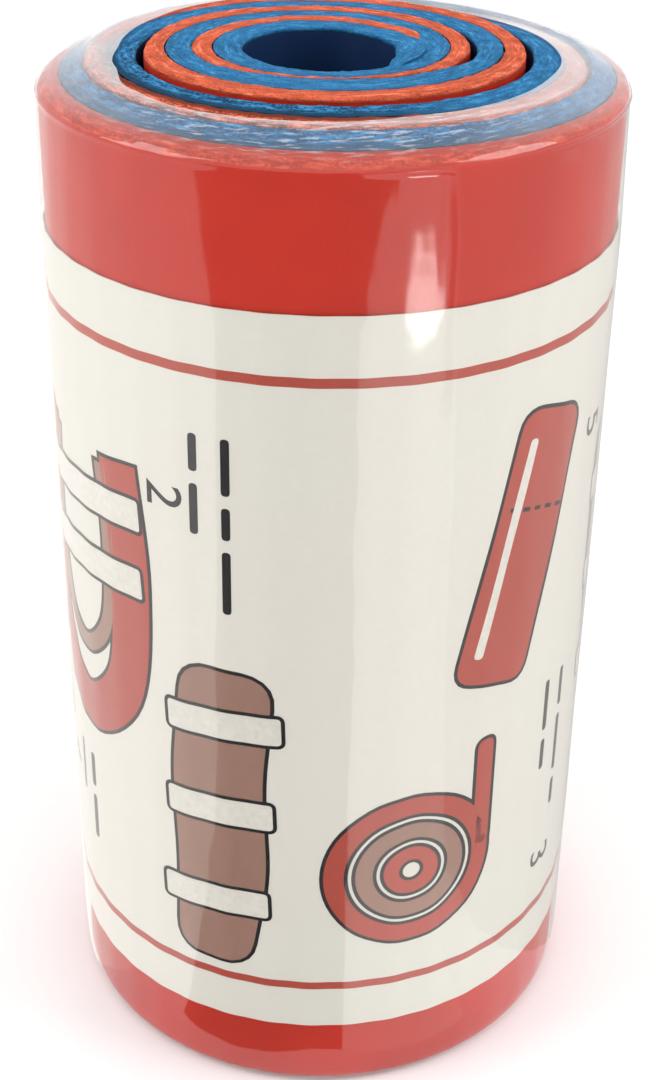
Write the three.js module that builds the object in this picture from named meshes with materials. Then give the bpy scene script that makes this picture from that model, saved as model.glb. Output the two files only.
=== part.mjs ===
// A rolled splint: a strip of soft aluminium between orange and blue foam, wound into a spiral
// that stands on its edge, banded with a label and shrink wrapped in clear film open at both ends.
import * as THREE from "three";

// Strip, in millimetres
const stripWidth = 108;
const orangeThickness = 2.05;
const coreThickness = 0.4;
const blueThickness = 2.2;
const bondGap = 0.12;
const foamEdgeRound = 0.5;
const coreInset = 0.6;
const endCornerRadius = 5;
const endTaperLength = 10;
const coreEndInset = 1.5;

// Roll, in millimetres, turns and degrees counter-clockwise from +X seen from above
const rollTurns = 4.2;
const turnGap = 0.26;
const innerFaceRadius = 9.9;
const innerEndAngle = 18;
const telescope = 1.9;
const rimRound = 1.3;

// Label and film, in millimetres
const labelThickness = 0.15;
const labelClearance = 0.15;
const labelFoot = 9;
const labelHeight = 85;
const filmThickness = 0.15;
const filmClearance = 0.15;
const openingRadius = 22.8;
const openingOffset = 1.1;

// Shares of the sizes above
const ORANGE_TIP_SHARE = 0.3;
const BLUE_TIP_SHARE = 0.5;
const INNER_END_LEAN = 0.35;
const OUTER_END_LEAN = 1;
const TAPER_STATIONS = [0.04, 0.12, 0.25, 0.42, 0.65];
const FOAM_OUTER_SHARE = 0.6;
const FOAM_INNER_SHARE = 0.3;
const ROUND_MIDDLE = 1 - Math.SQRT1_2;

// Turns from the outer end over which the rim's round eases off
const RIM_EASES_OFF = [0.9, 1.1];

// How far each turn stands proud, as a share of the telescope, by turns from the outer end
const PROUD_ROWS = [
  { turn: 0, proud: 0 },
  { turn: 0.5, proud: 0.13 },
  { turn: 1, proud: 0.08 },
  { turn: 1.25, proud: 0.38 },
  { turn: 1.5, proud: 0.45 },
  { turn: 2, proud: 0.7 },
  { turn: 2.5, proud: 0.9 },
  { turn: 3, proud: 0.82 },
  { turn: 4.2, proud: 1 },
];

// Fineness
const STEPS_PER_TURN = 40;
const WRAP_STEPS = 2 * STEPS_PER_TURN;
const FOLD_STEPS = 3;
const CLOSEST_STATIONS = 0.05 / STEPS_PER_TURN;

const pitch = orangeThickness + coreThickness + blueThickness + 2 * bondGap + turnGap;
const stripFoot = filmThickness + filmClearance;
const outerFaceRadius = innerFaceRadius + pitch * rollTurns;
const stripLength = lengthFromInnerEnd(rollTurns);
const labelInset = labelClearance;
const filmInset = labelClearance + labelThickness + filmClearance;

function lengthFromInnerEnd(turn) {
  return 2 * Math.PI * turn * (innerFaceRadius + (pitch * turn) / 2);
}

function azimuth(turn) {
  return THREE.MathUtils.degToRad(innerEndAngle) + 2 * Math.PI * turn;
}

function proudAt(turn) {
  const fromOuterEnd = rollTurns - turn;
  const next = PROUD_ROWS.findIndex((row) => row.turn >= fromOuterEnd);
  if (next < 0) return telescope * PROUD_ROWS[PROUD_ROWS.length - 1].proud;
  if (next === 0) return telescope * PROUD_ROWS[0].proud;
  const from = PROUD_ROWS[next - 1];
  const to = PROUD_ROWS[next];
  const share = (fromOuterEnd - from.turn) / (to.turn - from.turn);
  return telescope * THREE.MathUtils.lerp(from.proud, to.proud, share);
}

// How much a strip's rounded corner takes off its edge, a length along from its end
function cornerDrop(length) {
  if (length >= endCornerRadius) return 0;
  const reach = endCornerRadius - Math.max(length, 0);
  return endCornerRadius - Math.sqrt(Math.max(endCornerRadius ** 2 - reach ** 2, 0));
}

// Radii and heights of the three layers at one place along the strip
function stationAt(turn) {
  const fromInner = Math.max(lengthFromInnerEnd(turn), 0);
  const fromOuter = Math.max(stripLength - fromInner, 0);
  const nearest = Math.min(fromInner, fromOuter);
  const full = Math.sin((Math.PI / 2) * Math.min(nearest / endTaperLength, 1));
  const orange = orangeThickness * THREE.MathUtils.lerp(ORANGE_TIP_SHARE, 1, full);
  const blue = blueThickness * THREE.MathUtils.lerp(BLUE_TIP_SHARE, 1, full);
  const freed = orangeThickness - orange + blueThickness - blue;
  const lean = fromInner < fromOuter ? INNER_END_LEAN : OUTER_END_LEAN;
  const face = innerFaceRadius + pitch * turn - lean * freed;
  const low = stripFoot + proudAt(turn);
  const drop = cornerDrop(nearest);
  const coreFace = face - orange - bondGap;
  const blueFace = coreFace - coreThickness - bondGap;
  return {
    angle: azimuth(turn),
    outside: rollTurns - turn,
    face,
    orange,
    coreFace,
    blueFace,
    blue,
    low: low + drop,
    high: low + stripWidth - drop,
    edge: low + stripWidth,
  };
}

// Even steps along the strip, with closer ones where its ends taper
function stationTurns(endInset) {
  const start = endInset / (2 * Math.PI * innerFaceRadius);
  const end = rollTurns - endInset / (2 * Math.PI * outerFaceRadius);
  const list = [start, end];
  for (let step = 1; step < rollTurns * STEPS_PER_TURN; step += 1) {
    list.push(step / STEPS_PER_TURN);
  }
  for (const share of TAPER_STATIONS) {
    const length = share * endTaperLength;
    list.push(length / (2 * Math.PI * innerFaceRadius));
    list.push(rollTurns - length / (2 * Math.PI * outerFaceRadius));
  }
  const inside = list.filter((turn) => turn >= start && turn <= end).sort((a, b) => a - b);
  const kept = inside.filter((turn, i) => i === 0 || turn - inside[i - 1] > CLOSEST_STATIONS);
  kept[kept.length - 1] = end;
  return kept;
}

function place(radius, angle, height) {
  return new THREE.Vector3(radius * Math.cos(angle), radius * Math.sin(angle), height);
}

// A closed skin through sections with the same number of points, capped at both ends or looped
function skin(sections, looped) {
  const count = sections[0].length;
  const positions = sections.flat().flatMap((point) => [point.x, point.y, point.z]);
  const faces = [];
  const spans = looped ? sections.length : sections.length - 1;
  for (let s = 0; s < spans; s += 1) {
    const here = s * count;
    const there = ((s + 1) % sections.length) * count;
    for (let i = 0; i < count; i += 1) {
      const j = (i + 1) % count;
      faces.push(here + i, there + i, there + j, here + i, there + j, here + j);
    }
  }
  if (!looped) {
    const last = (sections.length - 1) * count;
    for (let i = 1; i < count - 1; i += 1) {
      faces.push(0, i, i + 1);
      faces.push(last, last + i + 1, last + i);
    }
  }
  const geometry = new THREE.BufferGeometry();
  geometry.setAttribute("position", new THREE.Float32BufferAttribute(positions, 3));
  geometry.setIndex(faces);
  geometry.computeVertexNormals();
  return geometry;
}

// Section of a foam layer, bevelled along its inner edges and as deep as asked along its outer
// ones, where a wide bevel is broken once more towards a round
function foamSection(station, face, thickness, outerDepth, broken) {
  const { angle, low, high } = station;
  const inner = face - thickness;
  const outerIn = Math.min(outerDepth, thickness * FOAM_OUTER_SHARE);
  const innerIn = Math.min(foamEdgeRound, thickness * FOAM_INNER_SHARE);
  const middleIn = face - ROUND_MIDDLE * outerIn;
  const middleUp = ROUND_MIDDLE * outerDepth;
  return [
    place(face, angle, low + outerDepth),
    place(face, angle, high - outerDepth),
    ...(broken ? [place(middleIn, angle, high - middleUp)] : []),
    place(face - outerIn, angle, high),
    place(inner + innerIn, angle, high),
    place(inner, angle, high - innerIn),
    place(inner, angle, low + innerIn),
    place(inner + innerIn, angle, low),
    place(face - outerIn, angle, low),
    ...(broken ? [place(middleIn, angle, low + middleUp)] : []),
  ];
}

// The film pulls the rim of the outermost turn round
function orangeFoam() {
  const sections = stationTurns(0).map((turn) => {
    const station = stationAt(turn);
    const loose = THREE.MathUtils.smoothstep(station.outside, ...RIM_EASES_OFF);
    const depth = THREE.MathUtils.lerp(rimRound, foamEdgeRound, loose);
    return foamSection(station, station.face, station.orange, depth, true);
  });
  return skin(sections, false);
}

function blueFoam() {
  const sections = stationTurns(0).map((turn) => {
    const station = stationAt(turn);
    return foamSection(station, station.blueFace, station.blue, foamEdgeRound, false);
  });
  return skin(sections, false);
}

function aluminiumCore() {
  const sections = stationTurns(coreEndInset).map((turn) => {
    const { angle, coreFace, low, high } = stationAt(turn);
    return [
      place(coreFace, angle, low + coreInset),
      place(coreFace, angle, high - coreInset),
      place(coreFace - coreThickness, angle, high - coreInset),
      place(coreFace - coreThickness, angle, low + coreInset),
    ];
  });
  return skin(sections, false);
}

const outerTurn = stationTurns(0).map(stationAt).filter((station) => station.outside <= 1.1);

// Radius of the tight outline that a band takes round the roll and its stepped outer end
function bandRadius(angle) {
  let radius = 0;
  for (const a of outerTurn) {
    for (const b of outerTurn) {
      const span = THREE.MathUtils.euclideanModulo(b.angle - a.angle, 2 * Math.PI);
      const part = THREE.MathUtils.euclideanModulo(angle - a.angle, 2 * Math.PI);
      if (span <= 0 || span >= Math.PI / 2 || part > span) continue;
      const chord =
        (a.face * b.face * Math.sin(span)) /
        (a.face * Math.sin(part) + b.face * Math.sin(span - part));
      radius = Math.max(radius, chord);
    }
  }
  return radius;
}

const wrapAngles = Array.from({ length: WRAP_STEPS }, (_, i) => azimuth(i / WRAP_STEPS));
const bandRadii = wrapAngles.map(bandRadius);

function labelBand() {
  const sections = wrapAngles.map((angle, i) => {
    const inner = bandRadii[i] + labelInset;
    const outer = inner + labelThickness;
    return [
      place(outer, angle, labelFoot),
      place(outer, angle, labelFoot + labelHeight),
      place(inner, angle, labelFoot + labelHeight),
      place(inner, angle, labelFoot),
    ];
  });
  return skin(sections, true);
}

// The film's round opening, seen from the roll's own axis
function openingAt(angle) {
  const across = openingOffset * Math.sin(angle);
  return openingOffset * Math.cos(angle) + Math.sqrt(openingRadius ** 2 - across ** 2);
}

// The highest edge among the turns that lie within reach of a place, or else of the nearest turn
function edgeUnder(radius, angle, reach) {
  const first = THREE.MathUtils.euclideanModulo(angle - azimuth(0), 2 * Math.PI) / (2 * Math.PI);
  const under = [];
  for (let turn = first; turn <= rollTurns; turn += 1) {
    const { face, blueFace, blue, edge } = stationAt(turn);
    under.push({ edge, away: Math.max(radius - face, blueFace - blue - radius, 0) });
  }
  const within = Math.max(reach, Math.min(...under.map((strip) => strip.away)));
  return Math.max(...under.filter((strip) => strip.away <= within).map((strip) => strip.edge));
}

// The film's inner profile from the edge of its lower opening, under the foot, up the wall and over
// the turns to its upper opening, with the way out of the film at each point
function filmProfile(angle, wall) {
  const bendIn = rimRound + filmInset;
  const bendUp = rimRound + filmClearance;
  const fold = wall - bendIn;
  const opening = openingAt(angle);
  const reach = Math.max((fold - opening) / FOLD_STEPS, 0) + filmClearance;
  const over = Array.from({ length: FOLD_STEPS + 1 }, (_, step) => {
    const radius = THREE.MathUtils.lerp(fold, opening, step / FOLD_STEPS);
    return { radius, height: edgeUnder(radius, angle, reach) + filmClearance, out: 0, up: 1 };
  });
  const foot = filmThickness;
  const top = over[0].height;
  const middle = wall - ROUND_MIDDLE * bendIn;
  const middleUp = ROUND_MIDDLE * bendUp;
  return [
    { radius: opening, height: foot, out: 0, up: -1 },
    { radius: fold, height: foot, out: 0, up: -1 },
    { radius: middle, height: foot + middleUp, out: Math.SQRT1_2, up: -Math.SQRT1_2 },
    { radius: wall, height: foot + bendUp, out: 1, up: 0 },
    { radius: wall, height: top - bendUp, out: 1, up: 0 },
    { radius: middle, height: top - middleUp, out: Math.SQRT1_2, up: Math.SQRT1_2 },
    ...over,
  ];
}

function clearFilm() {
  const sections = wrapAngles.map((angle, i) => {
    const profile = filmProfile(angle, bandRadii[i] + filmInset);
    const skinAt = (depth) => ({ radius, height, out, up }) =>
      place(radius + out * depth, angle, height + up * depth);
    return [...profile.map(skinAt(filmThickness)), ...profile.reverse().map(skinAt(0))];
  });
  return skin(sections, true);
}

function piece(name, geometry, color, roughness, metalness, opacity = 1) {
  const material = new THREE.MeshStandardMaterial({
    color,
    roughness,
    metalness,
    opacity,
    transparent: opacity < 1,
  });
  const mesh = new THREE.Mesh(geometry, material);
  mesh.name = name;
  return mesh;
}

const roll = new THREE.Group();
roll.add(
  piece("orange_foam", orangeFoam(), 0xe2623f, 0.8, 0),
  piece("aluminium_core", aluminiumCore(), 0xa9abac, 0.4, 1),
  piece("blue_foam", blueFoam(), 0x2f74a8, 0.8, 0),
  piece("label_band", labelBand(), 0xebe9e1, 0.5, 0),
  piece("clear_film", clearFilm(), 0xf4f6f7, 0.1, 0, 0.25),
);

// The part's origin is at the middle of its foot
const middle = new THREE.Box3().setFromObject(roll).getCenter(new THREE.Vector3());
roll.position.set(-middle.x, -middle.y, 0);

const splint = new THREE.Group();
splint.add(roll);

export default splint;
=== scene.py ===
"""A rolled aluminium and foam splint in clear film: the finish of its pieces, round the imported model"""

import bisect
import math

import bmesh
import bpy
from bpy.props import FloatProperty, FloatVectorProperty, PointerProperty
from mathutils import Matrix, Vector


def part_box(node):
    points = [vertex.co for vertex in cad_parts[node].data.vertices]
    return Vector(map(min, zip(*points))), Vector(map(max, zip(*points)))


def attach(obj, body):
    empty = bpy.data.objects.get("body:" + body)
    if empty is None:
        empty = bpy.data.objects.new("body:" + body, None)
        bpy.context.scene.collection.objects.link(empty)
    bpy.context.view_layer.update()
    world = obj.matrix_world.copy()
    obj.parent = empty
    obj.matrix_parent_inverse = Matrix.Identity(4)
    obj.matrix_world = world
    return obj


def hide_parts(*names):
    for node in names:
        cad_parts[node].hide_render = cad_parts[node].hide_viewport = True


bl_info = {
    "name": "Rolled Foam Splint",
    "version": (1, 0, 0),
    "blender": (4, 5, 0),
    "location": "View3D > Sidebar > Splint",
    "description": "Dresses a rolled splint with cut foam, a printed label and clear shrink film",
    "category": "Object",
}

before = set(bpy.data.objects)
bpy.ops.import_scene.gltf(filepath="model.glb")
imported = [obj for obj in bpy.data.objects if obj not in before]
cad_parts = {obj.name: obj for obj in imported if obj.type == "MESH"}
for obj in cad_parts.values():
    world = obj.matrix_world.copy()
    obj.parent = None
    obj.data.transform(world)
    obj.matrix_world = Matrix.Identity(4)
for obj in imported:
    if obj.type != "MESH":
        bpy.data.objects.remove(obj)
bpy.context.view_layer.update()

MM = 0.001
BODY = "root"

# Each table of rows holds pairs: turns from the strip's outer end, and a value there. Between two
# pairs row_value eases from one value to the next.

# How far each turn stands proud, as a share of the telescope
PROUD_ROWS = [
    (0.0, 0.0), (0.25, 0.0), (0.5, 0.03), (0.75, 0.1), (1.0, 0.25), (1.25, 0.45), (1.5, 0.6),
    (2.0, 0.8), (2.5, 0.94), (3.0, 0.9), (3.5, 0.86), (4.0, 1.0),
]

# How far the bond line lies outside its even spiral, in millimetres
STRAY_ROWS = [
    (0.0, 0.0), (0.1, 0.35), (0.27, 1.07), (0.5, 0.44), (0.72, 0.22), (1.0, 0.35), (1.25, 1.1),
    (1.5, 0.2), (1.75, 0.55), (2.0, 0.35), (2.25, 0.27), (2.5, 0.06), (2.75, 0.2), (3.25, 0.2),
    (3.5, 0.1), (3.72, 0.6), (4.0, 0.2), (4.1, 0.35), (4.178, 1.45), (4.25, 3.1), (4.33, 3.6),
    (4.42, 3.85),
]

# How much the upper cut edge rises towards the middle of the roll, as a slope
TILT_ROWS = [
    (0.0, 0.42), (0.9, 0.42), (1.15, 0.2), (1.5, 0.12), (1.8, 0.0),
]

# Thickness of each foam, as a share of its full one
ORANGE_ROWS = [
    (0.0, 1.0), (0.1, 0.83), (0.27, 0.48), (0.5, 0.78), (0.72, 0.88), (1.0, 0.9), (1.2, 1.0),
    (2.14, 1.0), (2.22, 0.86), (2.34, 1.0), (2.66, 1.0), (2.75, 0.8), (2.86, 1.0), (3.12, 1.0),
    (3.22, 0.85), (3.3, 0.62), (3.38, 0.2), (3.46, 0.07), (3.56, 0.1), (3.66, 0.6), (3.76, 0.9),
    (4.2, 0.9),
]
BLUE_ROWS = [
    (0.0, 1.0), (0.27, 1.0), (0.5, 1.12), (0.72, 0.95), (1.0, 1.0), (1.25, 1.25), (1.5, 1.04),
    (1.75, 1.1), (2.3, 1.04), (2.38, 1.5), (2.46, 1.72), (2.56, 1.7), (2.66, 1.2), (2.76, 1.0),
    (3.0, 1.05), (3.1, 1.25), (3.18, 1.15), (3.36, 1.0), (3.5, 0.92), (3.6, 1.06), (3.7, 1.2),
    (3.85, 1.2), (3.95, 1.04), (4.05, 0.92), (4.178, 1.04), (4.24, 1.3), (4.3, 1.2), (4.35, 0.92),
    (4.39, 0.6), (4.42, 0.2),
]

# How torn the upper cut edge is, from 0 to 1, which sets how much painted shade it gets in its torn cells
# and beside the sheet
TORN_SHADE_ROWS = [
    (0.0, 0.1), (0.3, 0.25), (0.42, 0.75), (0.58, 0.75), (0.75, 0.45), (1.0, 0.2), (1.38, 0.3),
    (1.5, 1.0), (1.74, 1.0), (1.84, 0.25), (4.42, 0.2),
]


class SplintStripSettings(bpy.types.PropertyGroup):
    """Sizes of the strip and of its roll"""

    width: FloatProperty(
        name="Strip width",
        description="Width of the strip, which is the height of the roll",
        default=108 * MM,
        subtype="DISTANCE",
    )
    orange_thickness: FloatProperty(
        name="Orange foam",
        description="Thickness of the outer foam",
        default=2.05 * MM,
        subtype="DISTANCE",
    )
    core_thickness: FloatProperty(
        name="Aluminium",
        description="Thickness of the soft sheet",
        default=0.4 * MM,
        subtype="DISTANCE",
    )
    blue_thickness: FloatProperty(
        name="Blue foam",
        description="Thickness of the inner foam",
        default=2.2 * MM,
        subtype="DISTANCE",
    )
    bond_gap: FloatProperty(
        name="Bond gap",
        description="Gap between foam and sheet",
        default=0.12 * MM,
        subtype="DISTANCE",
    )
    turn_gap: FloatProperty(
        name="Turn gap",
        description="Gap between one turn and the next",
        default=0.26 * MM,
        subtype="DISTANCE",
    )
    edge_round: FloatProperty(
        name="Edge round",
        description="Round of the cut edges",
        default=0.4 * MM,
        subtype="DISTANCE",
    )
    rim_round: FloatProperty(
        name="Rim round",
        description="Round that the film pulls into the outermost edge",
        default=0.9 * MM,
        subtype="DISTANCE",
    )
    corner_radius: FloatProperty(
        name="Corner radius",
        description="Radius of the strip's corners",
        default=5 * MM,
        subtype="DISTANCE",
    )
    end_taper: FloatProperty(
        name="End taper",
        description="Length over which the ends are pressed thin",
        default=10 * MM,
        subtype="DISTANCE",
    )
    turns: FloatProperty(name="Turns", description="Turns of the roll", default=4.42)
    inner_radius: FloatProperty(
        name="Inner radius",
        description="Radius of the outer face where the strip starts",
        default=8.767 * MM,
        subtype="DISTANCE",
    )
    inner_azimuth: FloatProperty(
        name="Inner end",
        description="Azimuth of the inner end",
        default=math.radians(-61.2),
        subtype="ANGLE",
    )
    blue_lead: FloatProperty(
        name="Blue lead",
        description="How far the blue foam runs on past the orange at the inner end",
        default=11.1 * MM,
        subtype="DISTANCE",
    )
    telescope: FloatProperty(
        name="Telescope",
        description="How far the middle stands above the outside",
        default=2.4 * MM,
        subtype="DISTANCE",
    )
    foot: FloatProperty(
        name="Foot",
        description="Height of the outer turn above the floor",
        default=0.3 * MM,
        subtype="DISTANCE",
    )
    cut_depth: FloatProperty(
        name="Cut roughness",
        description="Depth of the torn cells on the cut edges",
        default=0.16 * MM,
        subtype="DISTANCE",
    )


class SplintLabelSettings(bpy.types.PropertyGroup):
    """Sizes of the label and its print"""

    line_width: FloatProperty(
        name="Border line",
        description="Width of the border lines",
        default=1.0 * MM,
        subtype="DISTANCE",
    )
    upper_line: FloatProperty(
        name="Upper line",
        description="Height of the upper line above the label's foot",
        default=78.5 * MM,
        subtype="DISTANCE",
    )
    lower_line: FloatProperty(
        name="Lower line",
        description="Height of the lower line above the label's foot",
        default=5.9 * MM,
        subtype="DISTANCE",
    )
    outline: FloatProperty(
        name="Outline",
        description="Width of the black outlines",
        default=0.42 * MM,
        subtype="DISTANCE",
    )
    ink: FloatProperty(
        name="Ink",
        description="Thickness of one printed layer",
        default=0.012 * MM,
        subtype="DISTANCE",
    )


class SplintFilmSettings(bpy.types.PropertyGroup):
    """Sizes of the clear film"""

    thickness: FloatProperty(
        name="Film", description="Thickness of the film", default=0.08 * MM, subtype="DISTANCE"
    )
    ripple: FloatProperty(
        name="Ripple",
        description="Depth of the film's slack waves",
        default=0.10 * MM,
        subtype="DISTANCE",
    )


class SplintColourSettings(bpy.types.PropertyGroup):
    """Colours of the splint"""

    orange_cut: FloatVectorProperty(
        name="Orange cut",
        description="Cut edge of the orange foam",
        default=(0.76, 0.130, 0.056),
        size=3,
        subtype="COLOR",
    )
    orange_skin: FloatVectorProperty(
        name="Orange skin",
        description="Face of the orange foam",
        default=(0.46, 0.020, 0.007),
        size=3,
        subtype="COLOR",
    )
    blue_cut: FloatVectorProperty(
        name="Blue cut",
        description="Cut edge of the blue foam",
        default=(0.022, 0.198, 0.44),
        size=3,
        subtype="COLOR",
    )
    blue_skin: FloatVectorProperty(
        name="Blue skin",
        description="Face of the blue foam",
        default=(0.005, 0.022, 0.075),
        size=3,
        subtype="COLOR",
    )
    paper: FloatVectorProperty(
        name="Label",
        description="Paper of the label",
        default=(0.72, 0.685, 0.615),
        size=3,
        subtype="COLOR",
    )
    red_ink: FloatVectorProperty(
        name="Red ink",
        description="Red print",
        default=(0.44, 0.055, 0.03),
        size=3,
        subtype="COLOR",
    )
    tan_ink: FloatVectorProperty(
        name="Tan ink",
        description="Tan print",
        default=(0.33, 0.175, 0.125),
        size=3,
        subtype="COLOR",
    )
    black_ink: FloatVectorProperty(
        name="Black ink",
        description="Black print",
        default=(0.012, 0.011, 0.012),
        size=3,
        subtype="COLOR",
    )
    floor: FloatVectorProperty(
        name="Floor",
        description="Colour of the floor",
        default=(0.93, 0.93, 0.93),
        size=3,
        subtype="COLOR",
    )


class SplintStudioSettings(bpy.types.PropertyGroup):
    """The camera and the soft light round the splint"""

    focal_length: FloatProperty(name="Lens", description="Focal length in millimetres", default=60.32)
    camera_distance: FloatProperty(
        name="Camera distance",
        description="Distance of the camera in front of the roll's middle",
        default=177.7 * MM,
        subtype="DISTANCE",
    )
    camera_height: FloatProperty(
        name="Camera height",
        description="Height of the camera above the floor",
        default=156.0 * MM,
        subtype="DISTANCE",
    )
    camera_pitch: FloatProperty(
        name="Camera pitch",
        description="How far the camera looks down",
        default=0.5182,
        subtype="ANGLE",
    )
    camera_yaw: FloatProperty(
        name="Camera yaw",
        description="How far the camera looks to the right",
        default=0.0037,
        subtype="ANGLE",
    )
    camera_roll: FloatProperty(
        name="Camera roll", description="How far the camera leans", default=0.0174, subtype="ANGLE"
    )
    world_strength: FloatProperty(
        name="Surroundings", description="Strength of the white surroundings", default=0.95
    )
    key_power: FloatProperty(
        name="Soft lights", description="Power of each large soft light, in watts", default=3.8
    )


def row_value(rows, turn):
    """The value at a number of turns, eased between the pairs of a table"""
    turns = [row_turn for row_turn, value in rows]
    place = bisect.bisect_left(turns, turn)
    if place == 0:
        return rows[0][1]
    if place == len(rows):
        return rows[-1][1]
    (low_turn, low), (high_turn, high) = rows[place - 1], rows[place]
    return low + smooth((turn - low_turn) / (high_turn - low_turn)) * (high - low)


def lerp(low, high, part):
    return low + (high - low) * part


def smooth(part):
    """An even ease from 0 to 1"""
    part = min(max(part, 0.0), 1.0)
    return part * part * (3 - 2 * part)


# What is left of each foam's thickness where the end of the strip is pressed thin
ORANGE_TIP_SHARE = 0.3
BLUE_TIP_SHARE = 0.5
# Share of a turn from the right side to the back, where the strip's outer end lies
BACK_SHARE = 0.25


class Roll:
    """The spiral that the strip follows, by turns from its inner end and by length along its bond"""

    steps_per_turn = 160

    def __init__(self, strip):
        self.strip = strip
        self.pitch = (
            strip.orange_thickness
            + strip.core_thickness
            + strip.blue_thickness
            + 2 * strip.bond_gap
            + strip.turn_gap
        )
        low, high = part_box("orange_foam")
        right, front = strip.turns - BACK_SHARE, strip.turns - 2 * BACK_SHARE
        self.axis = Vector((high.x - self.plain_face(right), low.y + self.plain_face(front), 0.0))
        self.whole_face = self.face_length(strip.turns)
        count = int(strip.turns * self.steps_per_turn)
        self.turns = [strip.turns * i / count for i in range(count + 1)]
        self.points = [self.bond_point(turn) for turn in self.turns]
        self.lengths = [0.0]
        for a, b in zip(self.points, self.points[1:]):
            self.lengths.append(self.lengths[-1] + (b - a).length)
        self.length = self.lengths[-1]

    def plain_face(self, turn):
        """Radius of the outer face in an even roll"""
        return self.strip.inner_radius + self.pitch * turn

    def face_length(self, turn):
        """Length of the outer face from the inner end"""
        return 2 * math.pi * turn * (self.strip.inner_radius + self.pitch * turn / 2)

    def fullness(self, distance):
        """0 at an end of the strip, where it is pressed thin, and 1 away from it"""
        return math.sin(math.pi / 2 * min(max(distance, 0.0) / self.strip.end_taper, 1.0))

    def bond_radius(self, turn):
        """Radius of the middle of the sheet"""
        strip = self.strip
        full = self.fullness(self.whole_face - self.face_length(turn))
        orange_freed = strip.orange_thickness * (1 - ORANGE_TIP_SHARE) * (1 - full)
        blue_freed = strip.blue_thickness * (1 - BLUE_TIP_SHARE) * (1 - full)
        face = self.plain_face(turn) - orange_freed - blue_freed
        orange = strip.orange_thickness - orange_freed
        stray = row_value(STRAY_ROWS, strip.turns - turn) * MM
        return face - orange - strip.bond_gap - strip.core_thickness / 2 + stray

    def bond_point(self, turn):
        """Place of the middle of the sheet, at the strip's lower edge"""
        strip = self.strip
        angle = strip.inner_azimuth + 2 * math.pi * turn
        radius = self.bond_radius(turn)
        rise = strip.foot + strip.telescope * row_value(PROUD_ROWS, strip.turns - turn)
        return self.axis + Vector((radius * math.cos(angle), radius * math.sin(angle), rise))

    def turn_at(self, length):
        """Turns from the inner end, by length along the bond"""
        place = min(max(bisect.bisect_left(self.lengths, length), 1), len(self.lengths) - 1)
        low, high = self.lengths[place - 1], self.lengths[place]
        part = (length - low) / (high - low)
        return lerp(self.turns[place - 1], self.turns[place], min(max(part, 0.0), 1.0))


_made = {}


def roll_of(scene):
    """The roll, worked out once from the scene's settings"""
    if "roll" not in _made:
        _made["roll"] = Roll(scene.splint_strip)
    return _made["roll"]


def deselect():
    """Leaves edit mode and selects nothing"""
    if bpy.context.mode != "OBJECT":
        bpy.ops.object.mode_set(mode="OBJECT")
    bpy.ops.object.select_all(action="DESELECT")


def activate(obj):
    deselect()
    obj.select_set(True)
    bpy.context.view_layer.objects.active = obj


def edit(obj, kind="VERT"):
    activate(obj)
    bpy.ops.object.mode_set(mode="EDIT")
    bpy.ops.mesh.select_mode(type=kind)
    bpy.ops.mesh.select_all(action="SELECT")


def leave_edit():
    bpy.ops.object.mode_set(mode="OBJECT")


def pick(obj, kind, test):
    """Selects, in edit mode, the parts of a kind that pass a test"""
    bpy.ops.mesh.select_mode(type=kind)
    bpy.ops.mesh.select_all(action="DESELECT")
    mesh = bmesh.from_edit_mesh(obj.data)
    parts = {"VERT": mesh.verts, "EDGE": mesh.edges, "FACE": mesh.faces}[kind]
    for part in parts:
        part.select_set(test(part))
    mesh.select_flush_mode()
    bmesh.update_edit_mesh(obj.data)


def cut(places, axis):
    """Cuts straight across the whole mesh in edit mode at each place along an axis"""
    normal = [0.0, 0.0, 0.0]
    normal[axis] = 1.0
    for place in places:
        bpy.ops.mesh.select_all(action="SELECT")
        point = [0.0, 0.0, 0.0]
        point[axis] = place
        bpy.ops.mesh.bisect(plane_co=point, plane_no=normal)


def new_block(name, low, high):
    """A block between two corners, with its place in its mesh"""
    deselect()
    middle = (Vector(low) + Vector(high)) / 2
    bpy.ops.mesh.primitive_cube_add(size=1, location=middle)
    block = bpy.context.object
    block.name = name
    block.scale = Vector(high) - Vector(low)
    bpy.ops.object.transform_apply(location=True, rotation=True, scale=True)
    return block


def new_path(name, points, closed):
    """A curve through points, kept upright, that a flat piece can be wound along"""
    data = bpy.data.curves.new(name, "CURVE")
    data.dimensions = "3D"
    data.twist_mode = "Z_UP"
    spline = data.splines.new("POLY")
    spline.points.add(len(points) - 1)
    for place, point in zip(spline.points, points):
        place.co = (*point, 1.0)
    spline.use_cyclic_u = closed
    path = bpy.data.objects.new(name, data)
    bpy.context.scene.collection.objects.link(path)
    return path


def apply_modifier(piece, modifier):
    activate(piece)
    bpy.ops.object.modifier_apply(modifier=modifier.name)


def wind(piece, path):
    """Bends a flat piece along a path, its length along X and its height along Z"""
    bend = piece.modifiers.new("Wind", "CURVE")
    bend.object = path
    bend.deform_axis = "POS_X"
    apply_modifier(piece, bend)


def ruffle(piece, name, size, detail, strength, level, group=""):
    """Moves a surface in and out by a cloudy pattern that stays in its place"""
    texture = bpy.data.textures.new(name, "CLOUDS")
    texture.noise_scale = size
    texture.noise_depth = detail
    waves = piece.modifiers.new(name, "DISPLACE")
    waves.texture = texture
    waves.texture_coords = "LOCAL"
    waves.vertex_group = group
    waves.strength = strength
    waves.mid_level = level
    apply_modifier(piece, waves)


def drop(obj):
    """Removes a helper, with its curve where it has one"""
    data = obj.data
    bpy.data.objects.remove(obj)
    if isinstance(data, bpy.types.Curve):
        bpy.data.curves.remove(data)


SMOOTH_BELOW = math.radians(50)


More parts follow.
